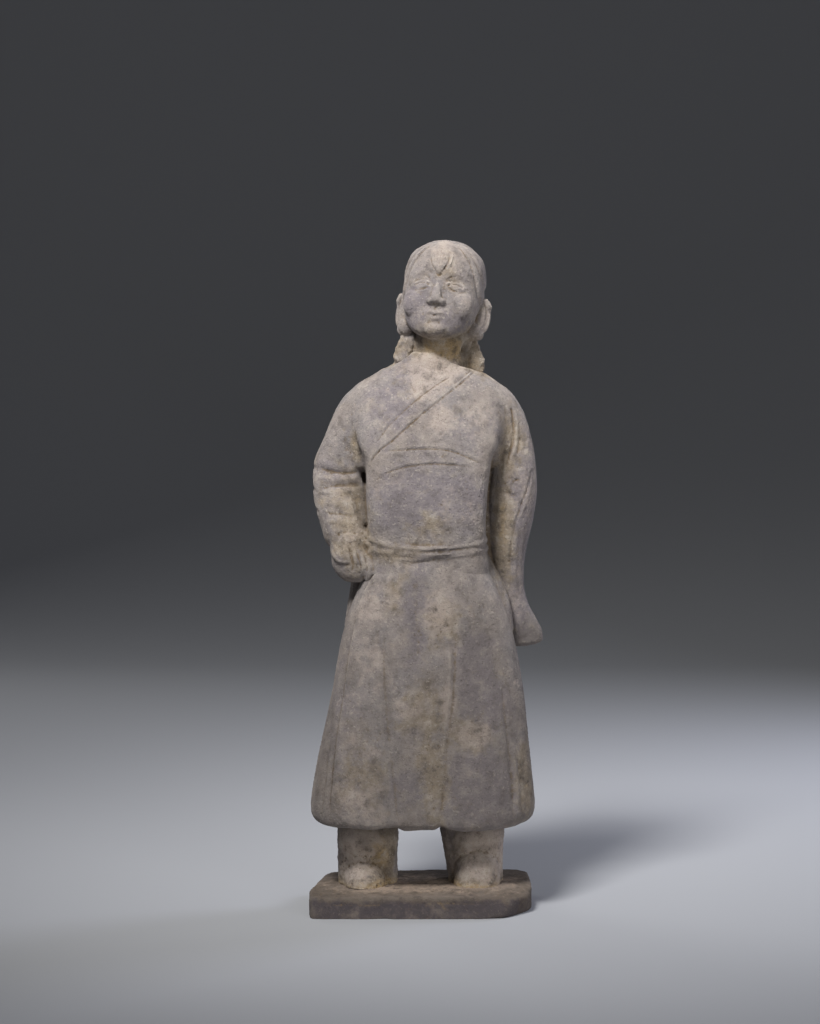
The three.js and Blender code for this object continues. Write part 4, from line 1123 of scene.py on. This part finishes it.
def faceStrokes():
    strokes = []
    for side in (-1, 1):
        def at(*spots):
            return [(side * x, z) for x, z in spots]
        strokes += [
            ("groove", 0.5, 0.55, at((3.6, 0.2), (6, 2.1), (8.6, 2.5), (11.2, 1.6), (13, -0.2))),  # lid fold
            ("ridge", 0.8, 0.6, at((3.6, -1.8), (6, 0.3), (8.4, 0.9), (10.8, 0.2), (13, -1.8))),  # upper lid
            ("groove", 1.1, 0.46, at((3.8, -2.6), (6, -0.9), (8.3, -0.5), (10.6, -1), (12.8, -2.5))),
            ("groove", 0.6, 0.4, at((4.2, -2.9), (6.2, -3.9), (8.4, -4.2), (10.6, -3.7), (12.4, -2.7))),
            ("ridge", 0.5, 0.55, at((4.6, -4), (6.4, -4.9), (8.4, -5.2), (10.8, -4.6), (12.2, -3.8))),
            ("groove", 0.3, 1.3, at((4.6, -9.8), (5.6, -12.6), (6.6, -15.6))),      # cheek fold
            ("groove", 0.5, 0.5, at((4.8, -8.9), (4.9, -10.5), (4, -12))),          # behind the wing
            ("groove", 0.8, 0.55, at((0.9, -11.9), (1.8, -12.2), (2.7, -11.8))),    # nostril
            ("groove", 0.5, 0.6, at((5.5, -16.4), (6.1, -16.8))),                   # mouth's corner
        ]
    strokes += [
        ("groove", 0.65, 0.36, [(-5.3, -16.6), (-2.8, -16.8), (-1, -17.2), (1, -17.2), (2.8, -16.8),
            (5.3, -16.6)]),
        ("groove", 0.35, 0.6, [(0, -12.6), (0, -14.8)]),
        ("groove", 0.5, 1.2, [(-3.4, -20.2), (0, -20.8), (3.4, -20.2)]),
    ]
    return strokes


hair = {
    # the side hair's edge, as (height, x): a thin mass combed down in front of the ear
    "edge": smoothCurve([(-12, 18.8), (-5, 18.2), (-1.5, 17.6), (6.3, 15.6), (12.2, 12.8), (15, 10.8),
                         (19, 7.4), (22, 4.8), (27, 1)]),
    "height": 0.75,
    "innerHeight": 0.45,   # and a second rise, a little way in
    "innerEdge": 1.9,
    # the forelock's outline, its left side, and the combed lines down it
    "forelock": [
        ("groove", 0.8, 0.5, [(-4.4, 22), (-5, 19.6), (-5.2, 14), (-4.6, 9), (-2.6, 4.6), (0, 2.6),
            (2.2, 4.6), (3.9, 9), (4.2, 14), (4, 19.6), (3.4, 22)]),
        ("ridge", 0.7, 0.5, [(5.2, 21), (5.3, 15), (4.9, 10), (4.2, 7)]),
        ("groove", 0.5, 0.4, [(6.2, 21), (6.3, 15), (5.9, 10)]),
        *(("groove", 0.4, 0.3, [(x - 0.4, 21), (x * 1.05 - 0.4, 15), (x * 0.7 - 0.3, 7)])
          for x in (-3.2, -1.6, 0, 1.6)),
    ],
}


def combHair(clay):
    x, y, z = clay.points.T
    beyond = np.abs(x) - hair["edge"](z)
    brow = smoothstep(np.abs(x), 6.4, 3.4) * (y < 0)  # the forelock's own place
    where = smoothstep(y, 16, 8) * smoothstep(z, -7, -4) * smoothstep(z, 22, 16) * (1 - brow)
    rise = hair["height"] * smoothstep(beyond, -0.2, 0.5) + hair["innerHeight"] * smoothstep(beyond, 2, 2.6)
    dips = (0.3 * np.exp(-((beyond - hair["innerEdge"]) / 0.4) ** 2)
            + 0.35 * np.exp(-((beyond + 0.3) / 0.4) ** 2))
    clay.push(where * (rise - dips))
    clay.marks({"front": hair["forelock"]})


def headPiece():
    piece = remeshed(headForms(), "figureHead", head["voxel"])
    # face and hair are worked with the head level, then it is leant back again
    piece.data.transform(headMatrix.inverted())
    clay = Clay(piece)
    clay.rub(6)
    x, y, z = clay.points.T
    front = smoothstep(-y, 6, 12) * (z > -27)
    clay.rub(10, where=front * 0.8)
    (eyeX, eyeZ), (eyeWide, eyeHigh) = face["eyePlace"], face["eyeHalves"]
    (socket, socketRadii), (hole, holeRadii) = face["socket"], ear["hole"]
    for side in (-1, 1):
        clay.push(-face["socketDepth"] * clay.blob(mirrored(side, socket), socketRadii) * front)
        ball = ((x - side * eyeX) / eyeWide) ** 2 + ((z - eyeZ) / eyeHigh) ** 2
        clay.push(face["eyeBulge"] * smoothstep(ball, 1.4, 0.2) * front)
        clay.push(-ear["holeDepth"] * clay.blob(earSpot(side, *hole), holeRadii))
    clay.marks({"front": faceStrokes()})
    combHair(clay)
    clay.rub(1, 0.4)
    piece.data.transform(headMatrix)
    clay = Clay(piece)
    clay.push(-head["pitDepth"] * clay.blob(*head["pit"]))
    weather(clay, head["roughness"], seed + 3)
    return finished(clay, piece, head["triangles"])


plinth = {
    "voxel": 0.6,  # mm
    "triangles": 80000,
    "roughness": 1.3,
    "height": 11,
    "tilt": 0.014,          # mm up for each mm towards the figure's left
    "edgeRadius": 1.2,
    "sag": 1.3,             # mm, the top towards the front
    "cornerDent": 0.9,
    "cornerWear": (5, 3),   # sideways and back, at the front corner on the figure's left
    "splay": 3,             # the foot of the front
    "footDrop": 1.5,
    # chips along the bottom of the front: x, width and depth
    "chips": [(-20, 5, 1.1), (-16.5, 2.4, 0.8), (-38, 4, 0.6), (8, 6, 0.5), (22, 3, 0.6), (38, 7, 1.6),
              (-51, 4, 1), (47, 5, 2)],
    "strokes": {"front": [
        ("groove", 0.35, 1.2, [(-50, 4.4), (-34, 5), (-16, 4.6), (2, 5.4), (20, 5), (34, 5.6)]),
        ("ridge", 0.35, 1.4, [(-52, 8.6), (-30, 9), (-6, 9.6), (20, 10), (40, 10.2)]),
        ("groove", 0.25, 0.7, [(-2, 7.2), (12, 7.6), (30, 7.4)]),
        ("groove", 0.25, 0.5, [(-44, 7.2), (-30, 6.6), (-18, 7)]),
        ("fold", 0.3, 1.2, [(6, 9.4), (9, 6), (12, 2.4)]),
    ]},
}


def plinthForms():
    bm = bmesh.new()
    (left, front, _), (right, back, _) = slabLow, slabHigh
    outline = [(left + 1.6, front), (right - 14, front), (right - 8, front + 1.4), (right - 3.4, front + 5),
               (right - 0.8, front + 11), (right, -4), (right - 0.4, back - 8), (right - 5, back - 1),
               (right - 12, back), (left + 14, back), (left + 8, back - 3), (left + 5.4, back - 10),
               (left, front + 16), (left + 0.4, front + 3)]
    base = bm.faces.new([bm.verts.new((x, y, 0)) for x, y in outline])
    raised = bmesh.ops.extrude_face_region(bm, geom=[base])["geom"]
    for vert in only(bmesh.types.BMVert, raised):
        vert.co.z = plinth["height"] + plinth["tilt"] * vert.co.x
    bmesh.ops.bevel(bm, geom=list(bm.edges), offset=plinth["edgeRadius"], segments=3, profile=0.5,
                    affect="EDGES", material=-1)
    return bm


def plinthPiece():
    piece = remeshed(plinthForms(), "plinthSlab", plinth["voxel"])
    clay = Clay(piece)
    x, y, z = clay.points.T
    front, right = slabLow[1], slabHigh[0]
    clay.rub(2)
    clay.rub(120, where=np.clip(1.4 * clay.blob((right - 6, front + 6, 6), (15, 14, 20)), 0, 1))
    clay.marks(plinth["strokes"])
    for spot, width, depth in plinth["chips"]:
        clay.push(-depth * clay.blob((spot, front + 1, 0), (width, 4, 2.4)))
    clay.push(-plinth["cornerDent"] * clay.blob((38, front + 4, 11.6), (14, 8, 2.4)))
    z -= plinth["sag"] * smoothstep(y, -14, front) * z / slabHigh[2]
    sideways, backward = plinth["cornerWear"]
    corner = smoothstep(x, 36, right) * smoothstep(-y, 8, -front)
    x -= sideways * corner * smoothstep(z, 11, 0)
    y += backward * corner
    y -= plinth["splay"] * smoothstep(y, -24, front) * smoothstep(z, 9, 0.5)
    clay.refresh()
    weather(clay, plinth["roughness"], seed + 11)
    z -= plinth["footDrop"] * smoothstep(z, 5, 1.4)
    clay.points[:, 2] = np.maximum(z, 0.05)  # the underside is flat
    clay.refresh()
    return finished(clay, piece, plinth["triangles"])


def linear(colour):  # "#rrggbb" as a linear colour
    parts = [int(colour[i:i + 2], 16) / 255 for i in (1, 3, 5)]
    return tuple(c / 12.92 if c <= 0.04045 else ((c + 0.055) / 1.055) ** 2.4 for c in parts) + (1,)


def addNode(tree, kind, inputs, **settings):  # a node; each input is a value or another node's output
    # inputs and outputs that share a name go by number
    node = tree.nodes.new("ShaderNode" + kind)
    for name, value in settings.items():
        setattr(node, name, value)
    for name, value in inputs.items():
        if isinstance(value, bpy.types.NodeSocket):
            tree.links.new(value, node.inputs[name])
        else:
            node.inputs[name].default_value = value
    return node.outputs


clayLook = {
    "clay": "#8f8886",        # bare grey clay
    "warm": "#968c86",        # the same clay, slightly warmer
    "violet": "#867e81",      # where it fired cooler, violet grey
    "earth": "#948674",       # thin khaki burial earth
    "ochre": "#b09872",       # warmer earth left in sheltered places
    "deepEarth": "#78664f",   # the same earth, thick in a crease
    "pale": "#b6a89e",        # pinkish lime bloom, and a painted highlight down a fold of the skirt
    "cream": "#bdb3a7",       # crumbs of lime
    "sootAndPaintedShade": "#4e4742",        # dark specks and pits, and the colour that painted shade is mixed towards
    "roughness": 0.9,
    "ior": 1.5,
    "specular": 0.2,
    "diffuseRoughness": 0.5,  # chalky
}
# the slab's clay is darker and browner, and its pale colour also lays a painted highlight along the front
# edge of the top
slabLook = {**clayLook, "clay": "#514947", "warm": "#564c46", "violet": "#4d474b", "cream": "#716860",
            "earth": "#6a5f55", "ochre": "#a49282", "pale": "#7e736a", "roughness": 0.92}

clayPattern = {
    # mottling in the clay: (mm across, detail, roughness); real grit is finer than the specks, which are
    # drawn as coarse as they need to be to show
    "grain": {"broad": (22, 3, 0.55), "patch": (9, 8, 0.6), "mottle": (3.2, 5, 0.65), "fine": (1.3, 3, 0.55),
              "speck": (0.55, 2, 0.55), "bloom": (4.4, 7, 0.74), "cloudy": (6, 8, 0.68)},
    # what lays each film on: a start, and shares of the grains above and of the values on the mesh
    "signals": {
        "cool": (1.3, {"violet": 1, "patch": -1.6, "mottle": -1}),
        "earthy": (-1.3, {"earth": 1, "patch": 1.6, "mottle": 1}),
        "limeAndPaintedHighlight": (-1.2, {"pale": 1, "bloom": 2.4}),
        "sunk": (-0.45, {"crease": 0.8, "recess": 0.7, "mottle": 0.9}),   # earth gathers in creases
        "worn": (0.7, {"crease": -1.2, "fine": -1.4}),                    # raised edges are rubbed clean
        "stained": (0.42, {"earth": 0.5}),
        "pitted": (0, {"speck": 1, "crease": 0.08}),
        # painted shade and grime, at half the shade film
        "paintedShadeAndGrime": (0, {"shade": 0.5}),
        "relief": (0, {"fine": 0.5, "speck": 0.22, "mottle": 0.5, "dab": 1}),
    },
    # films from the clay outwards: (colour, signal, where it starts, where it is full, and how much of
    # it there is or the signal that says so)
    "films": [
        ("warm", "broad", 0.35, 0.65, 1), ("violet", "cool", 0.15, 0.75, 0.85),
        ("earth", "earthy", 0.2, 0.8, 0.9), ("ochre", "earthy", 0.9, 1.7, 1),
        ("pale", "limeAndPaintedHighlight", 0.2, 0.95, 0.75), ("deepEarth", "sunk", 0.12, 0.75, 0.8),
        ("cream", "worn", 0.1, 0.9, 0.4), ("cream", "cloudy", 0.49, 0.72, "stained"),
        ("sootAndPaintedShade", "cloudy", 0.51, 0.3, "stained"), ("cream", "fine", 0.56, 0.74, 0.6),
        ("sootAndPaintedShade", "pitted", 0.56, 0.76, 0.7),
    ],
    "mostStain": 0.8,
    "dab": (1.7, 0.4, 0.3),   # hollows left by a finger or a brush: mm apart, reach and depth
    "bump": (0.85, 0.7),      # strength, and mm
}


def earthenware(name, look):
    # low-fired grey earthenware, press-moulded: dead matt, a chalky slip worn to violet grey, with
    # khaki burial earth in broad films and darker, yellower earth held in every crease
    # a darker film then paints shade into the slits, recesses and folds, and down towards the hem
    material = bpy.data.materials.new(name)
    material.use_nodes = True
    tree = material.node_tree
    tree.nodes.clear()
    spot = addNode(tree, "TexCoord", {})["Object"]
    signals = {}
    for label in ("crease", "recess", "earth", "pale", "violet", "shade"):  # stored on the mesh
        signals[label] = addNode(tree, "Attribute", {}, attribute_name=label)["Fac"]
    for label, (size, detail, rough) in clayPattern["grain"].items():
        signals[label] = addNode(tree, "TexNoise", {"Vector": spot, "Scale": 1 / (size * millimetre),
                                                    "Detail": detail, "Roughness": rough})["Fac"]
    size, reach, deep = clayPattern["dab"]
    hollow = addNode(tree, "TexVoronoi", {"Vector": spot, "Scale": 1 / (size * millimetre)})["Distance"]
    signals["dab"] = addNode(tree, "MapRange", {0: hollow, 1: 0.05, 2: reach, 3: -deep, 4: 0},
                             interpolation_type="SMOOTHSTEP")[0]
    for label, (total, shares) in clayPattern["signals"].items():
        for source, share in shares.items():
            total = addNode(tree, "Math", {0: signals[source], 1: share, 2: total},
                            operation="MULTIPLY_ADD")[0]
        signals[label] = total
    signals["stained"] = addNode(tree, "Math", {0: signals["stained"], 1: clayPattern["mostStain"]},
                                 operation="MINIMUM")[0]
    colour = linear(look["clay"])
    for tint, label, start, full, most in clayPattern["films"]:
        most = signals.get(most, most)
        cover = addNode(tree, "MapRange", {0: signals[label], 1: start, 2: full, 3: 0, 4: most},
                        interpolation_type="SMOOTHSTEP")[0]
        colour = addNode(tree, "Mix", {0: cover, 6: colour, 7: linear(look[tint])}, data_type="RGBA")[2]
    # painted shade, with some grime: the shade film darkens the colour towards the dark speck colour
    colour = addNode(tree, "Mix", {0: signals["paintedShadeAndGrime"], 6: colour, 7: linear(look["sootAndPaintedShade"])},
                     data_type="RGBA")[2]
    strength, high = clayPattern["bump"]
    bump = addNode(tree, "Bump", {"Strength": strength, "Distance": high * millimetre,
                                  "Height": signals["relief"]})[0]
    shader = addNode(tree, "BsdfPrincipled", {
        "Base Color": colour, "Normal": bump, "Roughness": look["roughness"], "IOR": look["ior"],
        "Specular IOR Level": look["specular"], "Diffuse Roughness": look["diffuseRoughness"]})[0]
    addNode(tree, "OutputMaterial", {"Surface": shader})
    return material


stage = {"halfWidth": 3, "front": -3, "bend": 1.2, "wall": 2, "paper": "#b9babd", "roughness": 0.9}  # metres


def buildStage():  # a plain pale sheet that runs back and curves up behind the figure
    bm = bmesh.new()
    wide, front, bend = stage["halfWidth"], stage["front"], stage["bend"]
    edge = bm.edges.new([bm.verts.new((x, front, 0)) for x in (-wide, wide)])
    moved = bmesh.ops.extrude_edge_only(bm, edges=[edge])["geom"]
    bmesh.ops.translate(bm, vec=(0, bend - front, 0), verts=only(bmesh.types.BMVert, moved))
    curve = bmesh.ops.spin(bm, geom=only(bmesh.types.BMEdge, moved), cent=(0, bend, bend), axis=(1, 0, 0),
                           angle=math.radians(90), steps=32)
    top = only(bmesh.types.BMEdge, curve["geom_last"])
    rise = bmesh.ops.extrude_edge_only(bm, edges=top)["geom"]
    bmesh.ops.translate(bm, vec=(0, 0, stage["wall"]), verts=only(bmesh.types.BMVert, rise))
    bmesh.ops.recalc_face_normals(bm, faces=bm.faces)
    mesh = bpy.data.meshes.new("studioFloor")
    bm.to_mesh(mesh)
    bm.free()
    floor = bpy.data.objects.new("studioFloor", mesh)
    bpy.context.scene.collection.objects.link(floor)
    mesh.shade_smooth()
    paper = bpy.data.materials.new("palePaper")
    paper.use_nodes = True
    sheet = paper.node_tree.nodes["Principled BSDF"].inputs
    sheet["Base Color"].default_value = linear(stage["paper"])
    sheet["Roughness"].default_value = stage["roughness"]
    mesh.materials.append(paper)
    print("stage built")


studio = {  # a gridded softbox on the head and breast, a weak fill and two thin rims: metres, watts, degrees
    "keySoftbox": {"place": (-0.26, -0.64, 0.97), "aim": (0, 0, 0.31), "size": 0.26, "power": 1.34,
                   "colour": "#ffffff", "spread": 52},
    "fillSoftbox": {"place": (0.45, -0.95, 0.2), "aim": (0, 0, 0.05), "size": 0.4, "power": 1.8,
                    "colour": "#ffffff", "spread": 150},
    "rimSoftbox": {"place": (0.7, 0.5, 0.45), "aim": (0, 0, 0.16), "size": 0.3, "power": 3,
                   "colour": "#e4e9ff", "spread": 180},
    "backSoftbox": {"place": (-0.8, 1, 0.7), "aim": (0, 0, 0.18), "size": 0.6, "power": 2.4,
                    "colour": "#ffffff", "spread": 180},
}
room = {"colour": "#e6e8ee", "strength": 0.08}


def buildLights():
    for name, softbox in studio.items():
        lamp = bpy.data.lights.new(name, "AREA")
        lamp.size, lamp.energy, lamp.color = softbox["size"], softbox["power"], linear(softbox["colour"])[:3]
        lamp.spread = math.radians(softbox["spread"])
        shown = bpy.data.objects.new(name, lamp)
        shown.location = softbox["place"]
        aimed = Vector(softbox["aim"]) - Vector(softbox["place"])
        shown.rotation_euler = aimed.to_track_quat("-Z", "Y").to_euler()
        bpy.context.scene.collection.objects.link(shown)
    world = bpy.data.worlds.new("studio")
    world.use_nodes = True
    world.node_tree.nodes["Background"].inputs["Color"].default_value = linear(room["colour"])
    world.node_tree.nodes["Background"].inputs["Strength"].default_value = room["strength"]
    bpy.context.scene.world = world
    bpy.context.scene.view_settings.view_transform = "Standard"
    print("lights built")


cameraView = {"place": (-0.0053, -1.25, 0.235), "aim": (-0.0053, 0, 0.1894), "lens": 91.72, "sensor": 36}


def buildCamera():
    camera = bpy.data.objects.new("camera", bpy.data.cameras.new("camera"))
    bpy.context.scene.collection.objects.link(camera)
    camera.location = cameraView["place"]
    aimed = Vector(cameraView["aim"]) - camera.location
    camera.rotation_euler = aimed.to_track_quat("-Z", "Y").to_euler()
    camera.data.lens = cameraView["lens"]
    camera.data.sensor_width = cameraView["sensor"]
    bpy.context.scene.camera = camera
    print("camera placed")


buildCamera()
buildStage()
buildLights()
clays = {
    "grey earthenware": earthenware("pressMouldedEarthenware", clayLook),
    "slab earthenware": earthenware("handCutEarthenware", slabLook),
}

for makePiece, node, slot in (
    (torsoPiece, "figure", "grey earthenware"),
    (skirtPiece, "figure", "grey earthenware"),
    (headPiece, "figure", "grey earthenware"),
    (plinthPiece, "plinth", "slab earthenware"),
):
    piece = makePiece()
    piece.data.materials.clear()
    piece.data.materials.append(clays[slot])
    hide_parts(node)
    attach(piece, "root")
    print(piece.name, "done")

bpy.context.view_layer.update()
